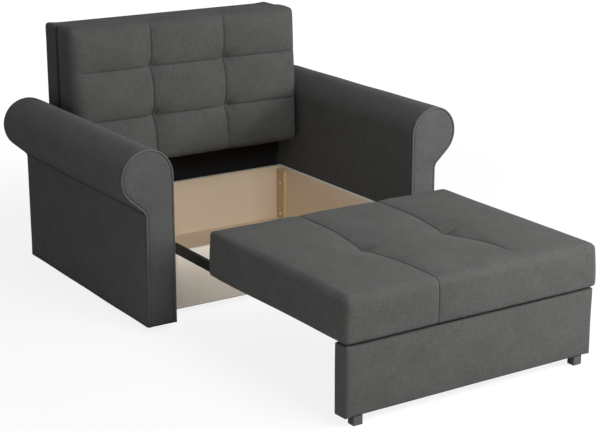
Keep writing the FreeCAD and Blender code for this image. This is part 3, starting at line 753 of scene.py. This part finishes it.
    def blow_up(self, piece: Piece, outward: np.ndarray, pinned: np.ndarray) -> None:
        """Lets air pressure swell the cloth between its pins, and keeps the swelling within the cap.

        Args:
            piece: the pad's object, whose mesh is changed.
            outward: the outward direction of each point, along which the stuffing holds the cloth out.
            pinned: how firmly each point is held, from 0 to 1.
        """
        rest = points_of(piece.data)
        group = piece.vertex_groups.new(name="held")
        levels = np.round(pinned, 1)
        for level in np.unique(levels[levels > 0]):
            group.add([int(index) for index in np.flatnonzero(levels == level)], float(level), "REPLACE")
        cloth = piece.modifiers.new("cloth", "CLOTH").settings
        for key, value in CLOTH.items():
            setattr(cloth, key, value)
        cloth.uniform_pressure_force = self.pressure
        cloth.effector_weights.gravity = 0
        cloth.shrink_min = -self.slack
        scene = bpy.context.scene
        for step in range(1, CLOTH_FRAMES + 1):
            scene.frame_set(step)
        shown = piece.evaluated_get(bpy.context.evaluated_depsgraph_get())
        moved = points_of(shown.data) - rest
        piece.modifiers.clear()
        piece.vertex_groups.clear()
        scene.frame_set(1)
        sunk = np.minimum((moved * outward).sum(axis=1, keepdims=True), 0.0)
        moved = self.calmed(moved - outward * sunk * SINKING_UNDONE, piece.data)
        length = np.maximum(np.linalg.norm(moved, axis=1, keepdims=True), 1e-9)
        moved *= np.minimum(1.0, self.cap / length)
        piece.data.vertices.foreach_set("co", (rest + moved).astype(np.float32).ravel())
        piece.data.update()

    def calmed(self, moved: np.ndarray, mesh: bpy.types.Mesh) -> np.ndarray:
        """Evens the swelling out between neighbours, so that the cloth lies without loose wrinkles.

        Args:
            moved: how far each point has moved.
            mesh: the mesh that the points belong to.

        Returns:
            The evened movement.
        """
        ends = np.empty(len(mesh.edges) * 2, np.int32)
        mesh.edges.foreach_get("vertices", ends)
        first, second = ends.reshape(-1, 2).T
        count = np.bincount(ends, minlength=len(moved))[:, None]
        for _ in range(self.calm):
            total = np.zeros_like(moved)
            np.add.at(total, first, moved[second])
            np.add.at(total, second, moved[first])
            moved = (moved + total / count) / 2
        return moved

    def make(self, finish: Material) -> Piece:
        """Builds the pad.

        Args:
            finish: its cloth.

        Returns:
            The object, with one live Subdivision Surface.
        """
        form = self.block()
        points, outward = self.rounded(np.array([point.co[:] for point in form.verts]))
        toward = np.array(self.faces.normalized())
        window = smooth_step(points[:, Z], *self.swell_over)
        points = points + outward * np.array(self.swell) * window[:, None]
        points = points + toward * (self.facing(outward) * self.crown(points))[:, None]
        for vertex, place in zip(form.verts, points):
            vertex.co = place
        piece = new_piece(self.name, form, finish)
        depth, _ = self.drawn_in(points, outward)
        back = smooth_step(-(outward @ toward), *ON_BACK)
        self.blow_up(piece, outward, np.clip(np.maximum(back, depth / PIN_DEPTH), 0.0, 1.0))
        self.stitch(piece)
        return piece

    def stitch(self, piece: Piece) -> None:
        """Adds close loops beside the seams, draws the cloth in along seams and tufts, and stores the painted
        shade.

        Args:
            piece: the pad's object, whose mesh is changed.
        """
        form = bmesh.new()
        form.from_mesh(piece.data)
        for seam in self.seams:
            for step in SEAM_LOOPS:
                slice_at(form, seam.axis, seam.at + step, 0.0002)
        form.normal_update()
        points = np.array([point.co[:] for point in form.verts])
        outward = np.array([point.normal[:] for point in form.verts])
        depth, painted_shade = self.drawn_in(points, outward)
        points = np.clip(self.shape(points - outward * depth[:, None]), *self.room)
        # the seam attribute carries the painted shade that the cloth is darkened by
        layer = form.verts.layers.float.new("seam")
        for vertex, place, dark in zip(form.verts, points, painted_shade):
            vertex.co = place
            vertex[layer] = float(dark)
        form.to_mesh(piece.data)
        form.free()
        piece.data.shade_smooth()
        finer = piece.modifiers.new("finer", "SUBSURF")
        finer.levels = finer.render_levels = 1


@dataclass
class SeatPad(Pad):
    """The seat: seams that run on down its front, and an underside hollowed out for its frame.

    notch is the span of |X| that the runners take where they leave the hollow at the rear, and
    drifts give each seam's place, its tuft's place and its drift at the front and at the rear.
    tighten_over counts from the front and from the rear, sag_over from the front and up.
    """

    rear_share: float = 0.55
    tighten_over: tuple[float, float] = (0.35, 0.05)
    sag: float = 0.008
    sag_over: tuple[float, float] = (0.08, 0.05)
    frame_top: float = 0.338
    notch: tuple[float, float] = (0.4435, 0.4715)
    notch_top: float = 0.2885
    drifts: tuple[tuple[float, float, float, float], ...] = ()
    drift_width: float = 0.10
    drift_over: tuple[float, float] = (0.02, 0.24)

    def radii(self, points: np.ndarray, share: np.ndarray) -> np.ndarray:
        """Edge radii at each point, tighter towards the rear."""
        begin, end = self.tighten_over
        rear = smooth_step(points[:, Y], self.low.y + begin, self.high.y - end)
        return super().radii(points, share) * (1.0 - (1.0 - self.rear_share) * rear)[:, None]

    def rounded(self, points: np.ndarray) -> tuple[np.ndarray, np.ndarray]:
        """Rounds the block and makes room in its underside.

        Args:
            points: the block's points.

        Returns:
            The points and their outward directions.
        """
        placed, outward = super().rounded(points)
        rear = smooth_step(points[:, Y], self.low.y + self.sag_over[0], self.high.y)
        up = np.clip((placed[:, Z] - self.low.z) / self.sag_over[1], 0.0, 1.0)
        placed[:, Z] -= self.sag * rear * (1.0 - up)
        side = np.abs(points[:, X])
        inset = np.array(self.near) + HAIR
        hollow = (points[:, Z] < self.low.z + 2 * HAIR) & (side < self.high.x - inset[X] + 2 * HAIR)
        hollow &= points[:, Y] > self.low.y + inset[Y] - 2 * HAIR
        hollow &= points[:, Y] < self.high.y - inset[Y] + 2 * HAIR
        placed[hollow, Z] = self.frame_top
        outward[hollow] = (0.0, 0.0, -1.0)
        notched = (side > self.notch[0] - HAIR) & (side < self.notch[1] + HAIR)
        notched &= points[:, Y] > self.high.y - inset[Y]
        raised = self.notch_top + 0.1 * (placed[:, Z] - self.low.z + self.sag)
        placed[notched, Z] = np.maximum(placed[:, Z], raised)[notched]
        return placed, outward

    def shape(self, points: np.ndarray) -> np.ndarray:
        """Lets the seams wander sideways from their tufts towards the front and the rear.

        Args:
            points: the points.

        Returns:
            The moved points.
        """
        moved = points.copy()
        for at, tuft, front, rear in self.drifts:
            window = np.exp(-(((points[:, X] - at) / self.drift_width) ** 2))
            ahead = smooth_step(tuft - points[:, Y], *self.drift_over)
            behind = smooth_step(points[:, Y] - tuft, *self.drift_over)
            moved[:, X] += window * (ahead * front + behind * rear)
        return moved

    def seen(self, outward: np.ndarray) -> np.ndarray:
        """Seams show on the top and on the front."""
        return np.maximum(self.facing(outward), smooth_step(-outward[:, Y], 0.2, 0.8))


@dataclass
class LeaningPad(Pad):
    """The back's front layer, thinner towards its top."""

    thin: float = 0.76

    def shape(self, points: np.ndarray) -> np.ndarray:
        """Draws the front face back with height.

        Args:
            points: the points.

        Returns:
            The moved points.
        """
        share = (points[:, Z] - self.low[Z]) / (self.high[Z] - self.low[Z])
        leaning = points.copy()
        leaning[:, Y] = self.high[Y] - (self.high[Y] - points[:, Y]) * (1.0 - share * (1.0 - self.thin))
        return leaning


@dataclass
class Seat:
    """Seat cushion and upholstered front panel."""

    cloth: Material
    left_seam: float = -0.170
    right_seam: float = 0.176
    tuft_back: float = 0.402
    bulge: float = 0.007
    arm_room: float = 0.5255

    def build(self) -> None:
        """Builds both pieces."""
        self.cushion()
        self.front_panel()

    def cushion(self) -> None:
        """The seat pad with its two seams and two tufts."""
        low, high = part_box("seat_cushion")
        tuft_y = low.y + self.tuft_back
        notch = SeatPad.notch
        pad = SeatPad(
            "seat_pad", low, high, Vector((0, 0, 1)),
            near=(0.020, 0.024, 0.024), far=(0.011, 0.011, 0.010), square=3.0, bulge=self.bulge,
            fields=((self.left_seam, self.right_seam), ()), swell=(0.005, 0.003, 0.0), cap=0.003, calm=28,
            seams=[
                Seam(X, self.left_seam, 0.0024, 0.020, dark=0.3),
                Seam(X, self.right_seam, 0.0024, 0.020, Y, low.y + 0.06, low.y + 0.17, 0.3),
            ],
            tufts=[
                Tuft((self.left_seam, tuft_y), 0.016, 0.048,
                     ((5, 0.17, 0.004), (178, 0.12, 0.002), (120, 0.06, 0.002))),
                Tuft((self.right_seam, tuft_y), 0.016, 0.048,
                     ((4, 0.16, 0.004), (174, 0.13, 0.002), (128, 0.06, 0.002))),
            ],
            cuts=((-notch[1], -notch[0], *notch), (), ()),
            room=((-self.arm_room, -FAR_OFF, -FAR_OFF), (self.arm_room, high.y + 0.003, FAR_OFF)),
            drifts=((self.left_seam, tuft_y, 0.010, 0.018), (self.right_seam, tuft_y, 0.036, 0.018)),
        )
        settle(pad.make(self.cloth), "seat", "seat_cover", "seat_cushion", fill=0.8)

    def front_panel(self) -> None:
        """The plain upholstered panel under the seat's front edge."""
        low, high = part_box("front_panel_cover")
        pad = Pad(
            "front_panel_pad", Vector((low.x, low.y + 0.003, low.z)), high, Vector((0, -1, 0)),
            near=(0.007, 0.007, 0.007), far=(0.003, 0.003, 0.003), bulge=0.003,
            swell=(0.003, 0.0, 0.001), cap=0.003, slack=0.002, pressure=2.0,
        )
        settle(pad.make(self.cloth), "seat", "seat_cover", "front_panel_cover", fill=0.9)


@dataclass
class Back:
    """The two stuffed layers of the back."""

    cloth: Material
    field_half: float = 0.170
    low_seam: float = 0.190
    high_seam: float = 0.390
    bulge: float = 0.017
    front_thickness: float = 0.165
    arm_room: float = 0.5255
    foot_room: float = 0.0015
    pressed_share: float = 0.952

    def build(self) -> None:
        """Builds both layers."""
        self.front_layer()
        self.rear_layer()

    def room(self, low: Vector) -> tuple[Triple, Triple]:
        """The space between the arms and above the frame's foot that a layer may fill."""
        return (-self.arm_room, -FAR_OFF, low.z - self.foot_room), (self.arm_room, FAR_OFF, FAR_OFF)

    def front_layer(self) -> None:
        """Three by three fields with four tufts.

        The seat slides in under this layer's stuffing as it closes; the layer is built as it stands with the
        seat drawn out.
        """
        low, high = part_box("back_front_cushion")
        levels = (low.z + self.low_seam, low.z + self.high_seam)
        columns = (-self.field_half, self.field_half)
        stars = dict(zip(columns, (
            ((150, 0.080, 0.006), (35, 0.085, 0.008), (-55, 0.070, 0.004), (210, 0.070, 0.006)),
            ((35, 0.095, 0.011), (145, 0.075, 0.004), (-120, 0.070, 0.004), (-25, 0.080, 0.007)),
        )))
        seams = [Seam(X, x, 0.0025, 0.012) for x in columns]
        seams += [Seam(Z, z, 0.0020, 0.012, X, low.x, low.x + 0.12, 0.5) for z in levels]
        pad = LeaningPad(
            "back_front_pad", Vector((low.x, high.y - self.front_thickness, low.z)), high, Vector((0, -1, 0)),
            near=(0.040, 0.036, 0.026), far=(0.010, 0.010, 0.010), square=5.0, bulge=self.bulge, rim=0.8,
            fields=(columns, levels), swell=(0.008, 0.0, 0.002), swell_over=(low.z + 0.02, low.z + 0.30),
            room=self.room(low), seams=seams,
            tufts=[Tuft((x, z), 0.027, 0.033, stars[x]) for x in columns for z in levels],
        )
        made = pad.make(self.cloth)
        settle(made, "back_front", "back_cover", "back_front_cushion", fill=0.75)
        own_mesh(made)

    def rear_layer(self) -> None:
        """The plain rear layer with full rear edges."""
        low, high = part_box("back_rear_cushion")
        pad = Pad(
            "back_rear_pad", low, high, Vector((0, 1, 0)),
            near=(0.015, 0.026, 0.016), far=(0.008, 0.008, 0.008), square=5.0, bulge=0.004, cap=0.004,
            swell=(0.013, 0.0, 0.002), swell_over=(low.z + 0.15, low.z + 0.23), rim=0.8, room=self.room(low),
        )
        settle(pad.make(self.cloth), "back_rear", "back_cover", "back_rear_cushion", fill=0.75)


@dataclass
class Arm:
    """One rolled arm: cover, front facing and piping.

    outline_steps counts the points of its outline along the inner side, round the roll, down
    the neck, round the crease and down the outer side. The rows are the cover's rings of points
    from front to rear, and stuffing gives the facing's insets with their shares of its rise.
    """

    side: Side
    cloth: Material
    cord: Material
    width: float = 0.114
    roll_radius: float = 0.104
    roll_height: float = 0.585
    crease_height: float = 0.455
    crease_radius: float = 0.016
    piping_radius: float = 0.004
    outline_steps: tuple[int, ...] = (16, 40, 3, 5, 12)
    front_rows: tuple[float, ...] = (0.004, 0.006, 0.01, 0.02)
    rear_rows: tuple[float, ...] = (0.014, 0.010, 0.006)
    rows_between: int = 26
    rear_rounding: tuple[float, float] = (0.02, 0.012)
    front_tuck: tuple[float, float] = (0.012, 0.0025)
    wave: float = 0.0009
    calm_ends: float = 0.06
    # Painted shade in the crease under the roll, and along the edges beside the piping
    crease_shade: tuple[float, ...] = (0.45, 1.0, 0.45)
    edge_shade: float = 0.8
    under_piping: float = 0.0010
    wall_rise: float = 0.35
    stuffing: tuple[tuple[float, float], ...] = ((0.0015, 0.28), (0.0025, 0.17), (0.005, 0.12), (0.009, 0.08))

    def __post_init__(self) -> None:
        """Reads the arm's place from its CAD cover."""
        self.cover_low, self.cover_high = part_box(f"arm_{self.side.word}_cover")
        self.sign = self.side.value
        self.inside_x = min(abs(self.cover_low.x), abs(self.cover_high.x)) * self.sign
        self.outside_x = self.inside_x + self.sign * self.width

    def build(self) -> None:
        """Builds the three pieces."""
        self.cover()
        self.facing()
        self.piping()

    def path(self, y: float, inset: float) -> list[Vector]:
        """The arm's open front outline from the inner foot over the roll to the outer foot.

        Args:
            y: the plane that it lies in.
            inset: how far it is drawn in.

        Returns:
            Its places in order.
        """
        sign = self.sign
        up, round_roll, down_neck, round_crease, down = self.outline_steps
        radius = self.roll_radius - inset
        axis = Vector((self.inside_x + sign * self.roll_radius, y, self.roll_height))
        inner = self.inside_x + sign * inset
        outer = self.outside_x - sign * inset
        foot = self.cover_low.z + inset
        crease = Vector((outer, y, self.crease_height + 0.4 * inset))
        away = crease - axis
        leave = math.atan2(away.z, sign * away.x) + math.acos(radius / math.hypot(away.x, away.z))
        places = [Vector((inner, y, foot + (self.roll_height - foot) * step / up)) for step in range(up + 1)]
        for step in range(1, round_roll + 1):
            angle = math.pi + (leave - math.pi) * step / round_roll
            aside, rise = sign * radius * math.cos(angle), radius * math.sin(angle)
            places.append(Vector((axis.x + aside, y, axis.z + rise)))
        last = places[-1]
        bend = (self.crease_radius + inset) * 0.9
        neck = (crease - last).normalized() * ((crease - last).length - bend)
        places += [last + neck * step / down_neck for step in range(1, down_neck + 1)]
        start, end = places[-1], crease - Vector((0, 0, bend))
        for step in range(1, round_crease):
            share = step / round_crease
            places.append(start.lerp(crease, share).lerp(crease.lerp(end, share), share))
        return places + [end.lerp(Vector((outer, y, foot)), step / down) for step in range(down + 1)]

    def outline(self, form: Form, y: float, inset: float) -> list[Point]:
        """Draws the closed front outline.

        Args:
            form: the form that gets it.
            y: the plane that it lies in.
            inset: how far it is drawn in.

        Returns:
            Its points in order.
        """
        chain = [form.verts.new(place) for place in self.path(y, inset)]
        for first, second in zip(chain, chain[1:] + chain[:1]):
            form.edges.new((first, second))
        return chain

    def cover(self) -> None:
        """The cloth over the arm, pulled round the roll and gathered a little behind the piping."""
        form = bmesh.new()
        run = form.verts.layers.float.new("run")
        dark = form.verts.layers.float.new("seam")
        front = self.cover_low.y
        length = self.cover_high.y - front
        chain = self.outline(form, front, 0.0)
        total = 0.0
        for before, point in zip([chain[0], *chain], chain):
            total += (point.co - before.co).length
            point[run] = total
        crease = Vector((self.outside_x, front, self.crease_height))
        bend = min(range(len(chain)), key=lambda index: sum(map(abs, chain[index].co - crease)))
        # painted shade in the crease under the roll
        for point, shade in zip(chain[bend - 1:bend + 2], self.crease_shade):
            point[dark] = shade
        ring = form.edges[:]
        bmesh.ops.contextual_create(form, geom=ring)
        between = (length - sum(self.front_rows) - sum(self.rear_rows)) / self.rows_between
        for step in (*self.front_rows, *[between] * self.rows_between, *self.rear_rows):
            made = bmesh.ops.extrude_edge_only(form, edges=ring)["geom"]
            bmesh.ops.translate(form, vec=(0, step, 0), verts=only(Point, made))
            ring = only(Edge, made)
        bmesh.ops.contextual_create(form, geom=ring)
        bmesh.ops.recalc_face_normals(form, faces=form.faces)
        # painted shade along the front edge beside the piping
        for point in form.verts:
            if point.co.y < front + 2 * HAIR:
                point[dark] = self.edge_shade
        self.ease(form, front, front + length)
        lay_cloth(form, lambda face, point: ((point.co.x, point.co.z) if abs(face.normal.y) > 0.7
                                             else (point[run], point.co.y)))
        made = new_piece(f"arm_{self.side.word}_skin", form, self.cloth)
        settle(made, "base", "arm_cover", f"arm_{self.side.word}_cover", fill=0.85)

    def ease(self, form: Form, front: float, rear: float) -> None:
        """Softens the skin: rounded rear edge, tucked front edge, faint waves between them.

        Args:
            form: the skin.
            front: the place of its front edge along Y.
            rear: the place of its rear edge along Y.
        """
        form.normal_update()
        for point in form.verts:
            y, z = point.co.y, point.co.z
            away = Vector((point.normal.x, 0, point.normal.z))
            if away.length < 0.2:
                continue
            away.normalize()
            edge = max(0.0, 1.0 - (rear - y) / self.rear_rounding[0])
            tuck = max(0.0, 1.0 - (y - front) / self.front_tuck[0])
            wave = math.sin(y * 11.0 + z * 9.0 + self.sign * 2.0) * math.sin(y * 5.3 - z * 6.0)
            calm = max(0.0, min(1.0, (y - front) / self.calm_ends, (rear - y) / self.calm_ends))
            drawn = self.rear_rounding[1] * (1 - math.sqrt(max(0.0, 1 - edge * edge)))
            point.co -= away * (drawn + self.front_tuck[1] * tuck * tuck)
            point.co += away * (self.wave * wave * calm)

    def facing(self) -> None:
        """The flat front, stuffed a little and tucked in along the piping."""
        low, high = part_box(f"arm_{self.side.word}_facing")
        form = bmesh.new()
        dark = form.verts.layers.float.new("seam")
        self.outline(form, high.y, 2 * self.piping_radius - self.under_piping)
        face = bmesh.ops.contextual_create(form, geom=form.edges[:])["faces"]
        form.normal_update()
        if face[0].normal.y > 0:
            face[0].normal_flip()
        sunk = high.y - low.y
        wall = bmesh.ops.extrude_face_region(form, geom=face)["geom"]
        bmesh.ops.translate(form, vec=(0, -sunk * self.wall_rise, 0), verts=only(Point, wall))
        top = only(Face, wall)
        # painted shade round the outer ring beside the piping; the stuffed inner part is cleared of it below
        for point in form.verts:
            point[dark] = self.edge_shade
        for thickness, rise in self.stuffing:
            bmesh.ops.inset_region(form, faces=top, thickness=thickness, depth=0.0, use_even_offset=True)
            for point in top[0].verts:
                point[dark] = 0.0
            bmesh.ops.translate(form, vec=(0, -sunk * rise, 0), verts=top[0].verts[:])
        bmesh.ops.recalc_face_normals(form, faces=form.faces)
        lay_cloth(form, lambda face, point: (point.co.x, point.co.z))
        made = new_piece(f"arm_{self.side.word}_front", form, self.cloth)
        settle(made, "base", "arm_cover", f"arm_{self.side.word}_facing", fill=0.9)

    def piping(self) -> None:
        """The cord in cover cloth round the facing."""
        low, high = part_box(f"arm_{self.side.word}_piping")
        places = self.path((low.y + high.y) / 2, self.piping_radius)
        form = bmesh.new()
        ring: list[Point] = []
        for before, place, after in zip(places[:1] + places, places, places[1:] + places[-1:]):
            turn = Vector((0, 0, 1)).rotation_difference((after - before).normalized()).to_matrix().to_4x4()
            fresh = bmesh.ops.create_circle(form, segments=12, radius=self.piping_radius,
                                            matrix=Matrix.Translation(place) @ turn)["verts"]
            if ring:
                bmesh.ops.bridge_loops(form, edges=self.open_edges(ring + fresh))
            ring = fresh
        bmesh.ops.holes_fill(form, edges=form.edges, sides=12)
        bmesh.ops.recalc_face_normals(form, faces=form.faces)
        # the cord gets the paler cloth, a painted highlight along the piping
        made = new_piece(f"arm_{self.side.word}_cord", form, self.cord)
        settle(made, "base", "piping", f"arm_{self.side.word}_piping")

    @staticmethod
    def open_edges(points: list[Point]) -> list[Edge]:
        """The edges between some points that still lack a face."""
        edges = dict.fromkeys(edge for point in points for edge in point.link_edges)
        bare = [edge for edge in edges if len(edge.link_faces) < 2]
        return [edge for edge in bare if all(end in points for end in edge.verts)]


@dataclass
class Studio:
    """Floor, lamps and a camera at the photograph's angle."""

    lens: float = 92.10
    place: Triple = (-3.0117, -4.6625, 1.9836)
    yaw: float = 33.01
    pitch: float = 16.46
    fill: float = 0.22
    floor_tone: float = 0.54
    floor_seen_tone: float = 0.90
    glow: float = 1.05
    glow_from: tuple[float, float] = (1.6, 0.81)
    glow_to: tuple[float, float] = (4.0, 1.0)

    def build(self) -> None:
        """Sets the whole studio up."""
        scene = bpy.context.scene
        scene.view_settings.view_transform = "Standard"
        self.camera(scene)
        self.world(scene)
        self.floor()
        self.lamp("side_key", (3.3, -3.05, 1.80), (0.0, -0.2, 0.3), 1.2, 208.0)
        self.lamp("front_key", (0.3, -3.0, 3.6), (0.0, -0.4, 0.3), 2.4, 116.0)
        self.lamp("left_fill", (-3.7, -1.8, 1.0), (0.0, -0.2, 0.3), 1.8, 27.0)

    def camera(self, scene: bpy.types.Scene) -> None:
        """Places the camera.

        Args:
            scene: the scene that looks through it.
        """
        data = bpy.data.cameras.new("camera")
        data.lens = self.lens
        data.sensor_width = 36.0
        data.clip_end = 200.0
        made = bpy.data.objects.new("camera", data)
        made.location = self.place
        made.rotation_euler = (math.radians(90.0 - self.pitch), 0.0, math.radians(-self.yaw))
        scene.collection.objects.link(made)
        scene.camera = made

    def world(self, scene: bpy.types.Scene) -> None:
        """White to the eye and in reflections, a plain level of light for the rest.

        Args:
            scene: the scene that gets the world.
        """
        scene.world = bpy.data.worlds.new("studio")
        scene.world.use_nodes = True
        graph = Graph(scene.world.node_tree)
        graph.tree.nodes.clear()
        path = graph.node("LightPath").outputs
        seen = graph.math("MAXIMUM", path["Is Camera Ray"], path["Is Glossy Ray"])
        seen = graph.math("MAXIMUM", seen, path["Is Transmission Ray"])
        strength = graph.spread(seen, 0.0, 1.0, self.fill, 1.0)
        sky = graph.node("Background", {"Color": (1.0, 1.0, 1.0, 1.0), "Strength": strength})
        graph.node("OutputWorld", {"Surface": sky.outputs[0]})

    def floor(self) -> None:
        """A wide pale floor that keeps a soft shadow."""
        form = bmesh.new()
        bmesh.ops.create_grid(form, x_segments=1, y_segments=1, size=40.0)
        bmesh.ops.translate(form, vec=(0, 0, -0.0004), verts=form.verts)
        made = bpy.data.materials.new("pale_floor")
        made.use_nodes = True
        graph = Graph(made.node_tree)
        graph.tree.nodes.clear()
        seen = graph.node("LightPath").outputs["Is Camera Ray"]
        matt = graph.node("BsdfDiffuse", {
            "Color": graph.between(seen, (self.floor_tone,) * 3, (self.floor_seen_tone,) * 3)})
        glow = graph.node("Emission", {"Color": (1.0, 1.0, 1.0, 1.0), "Strength": self.glow})
        distance = graph.node("VectorMath", {0: graph.place()}, operation="LENGTH").outputs["Value"]
        (near, low), (far, high) = self.glow_from, self.glow_to
        share = graph.times(seen, graph.spread(distance, near, far, low, high))
        mixed = graph.node("MixShader", {0: share, 1: matt.outputs[0], 2: glow.outputs[0]})
        graph.node("OutputMaterial", {"Surface": mixed.outputs[0]})
        new_piece("floor", form, made)

    @staticmethod
    def lamp(name: str, place: Triple, target: Triple, size: float, power: float) -> None:
        """A square soft lamp that looks at a target.

        Args:
            name: the lamp's name.
            place: where it hangs.
            target: what it looks at.
            size: its side.
            power: its power in watts.
        """
        data = bpy.data.lights.new(name, "AREA")
        data.size = size
        data.energy = power
        made = bpy.data.objects.new(name, data)
        made.location = place
        made.rotation_euler = (Vector(target) - Vector(place)).to_track_quat("-Z", "Y").to_euler()
        bpy.context.scene.collection.objects.link(made)


class Finishes:
    """Every finish of the chair bed by name, and the CAD nodes that keep their shape."""

    recipes = (
        # The seat, back and arms are one cover cloth in three tones: the seat's lighter tone is painted
        # light, the back's darker tone is painted shade, and the arms' lies between.
        Fabric("seat_cloth", (0.0750, 0.0765, 0.0725)),
        Fabric("back_cloth", (0.0690, 0.0700, 0.0670)),
        Fabric("arm_cloth", (0.0735, 0.0757, 0.0733)),
        # The cord's cloth is paler than the cover's: a painted highlight along the piping.
        Fabric("cord_cloth", (0.092, 0.094, 0.091), pitch=0.0009, by_uv=False),
        # One faced chipboard: the side boards' and the front board's paler tones are painted light, the box's
        # back keeps the plain tone
        FacedBoard("faced_board", (0.77, 0.645, 0.50)),
        FacedBoard("side_board", (0.87, 0.735, 0.575)),
        FacedBoard("front_board_face", (0.95, 0.86, 0.735), (0.94, 0.91, 0.85), (3.0, 3.0, 3.0), 0.06),
        # The base board's and the pine's colours are set darker as painted shade of the box's floor and of
        # the battens in its corners
        FacedBoard("base_board", (0.60, 0.475, 0.345), (0.60, 0.475, 0.345), (2.0, 9.0, 9.0), 0.10),
        BareWood("pine", (0.74, 0.57, 0.375), (0.61, 0.44, 0.265), (160.0, 160.0, 7.0)),
        BareWood("fibreboard", (0.36, 0.24, 0.14), (0.30, 0.19, 0.11), (60.0, 60.0, 60.0)),
        Coat("black_board", (0.014, 0.014, 0.0145), 0.85, size=500.0, shine=0.1),
        Coat("black_powder_coat", (0.009, 0.009, 0.010), 0.42, shine=0.3),
        Coat("zinc_plate", (0.42, 0.42, 0.43), 0.36, metallic=1.0, size=260.0),
        Coat("grey_painted_steel", (0.066, 0.067, 0.064), 0.7, shine=0.2),
        Coat("black_plastic", (0.066, 0.067, 0.066), 0.55, size=1400.0, shine=0.4),
        Coat("nylon", (0.68, 0.67, 0.62), 0.38, size=700.0),
        Coat("white_paint", (0.82, 0.81, 0.78), 0.35),
    )
    # Finish by the start of the node's name, a longer start before a shorter one
    nodes = {
        "box_side": "side_board", "box_back": "faced_board", "box_front_board": "front_board_face",
        "box_base": "base_board", "box_batten_screws": "white_paint", "rear_panel": "black_board",
        "box_roller_bracket": "black_powder_coat", "box_roller_": "nylon", "seat_roller_": "nylon",
        "runner_bar": "black_powder_coat", "runner_channel": "black_powder_coat",
        "runner_caps": "black_plastic",
        "pivot_plate": "black_powder_coat", "back_bracket": "black_powder_coat",
        "seam_hinge": "grey_painted_steel", "front_panel_angles": "zinc_plate", "seat_foot": "black_plastic",
        "seat_board": "fibreboard", "seat_bottom_panel": "fibreboard", "front_panel_board": "fibreboard",
        "arm_left_glides": "black_plastic", "arm_right_glides": "black_plastic",
    }
    usual = "pine"

    def __init__(self) -> None:
        """Builds the materials."""
        effects = Effects()
        self.made = {recipe.name: recipe.material(effects) for recipe in self.recipes}

    def __getitem__(self, name: str) -> Material:
        """The material of a finish."""
        return self.made[name]

    def dress(self) -> None:
        """Gives each CAD node that stays its finish."""
        for name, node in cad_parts.items():
            found = [finish for start, finish in self.nodes.items() if name.startswith(start)]
            node.data.materials.clear()
            node.data.materials.append(self[found[0] if found else self.usual])


def main() -> None:
    """Builds the chair bed's visible pieces in order."""
    logging.basicConfig(level=logging.INFO)
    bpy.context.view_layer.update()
    finishes = Finishes()
    finishes.dress()
    Studio().build()
    for side in Side:
        Arm(side, finishes["arm_cloth"], finishes["cord_cloth"]).build()
    Seat(finishes["seat_cloth"]).build()
    Back(finishes["back_cloth"]).build()


if __name__ == "__main__":
    main()
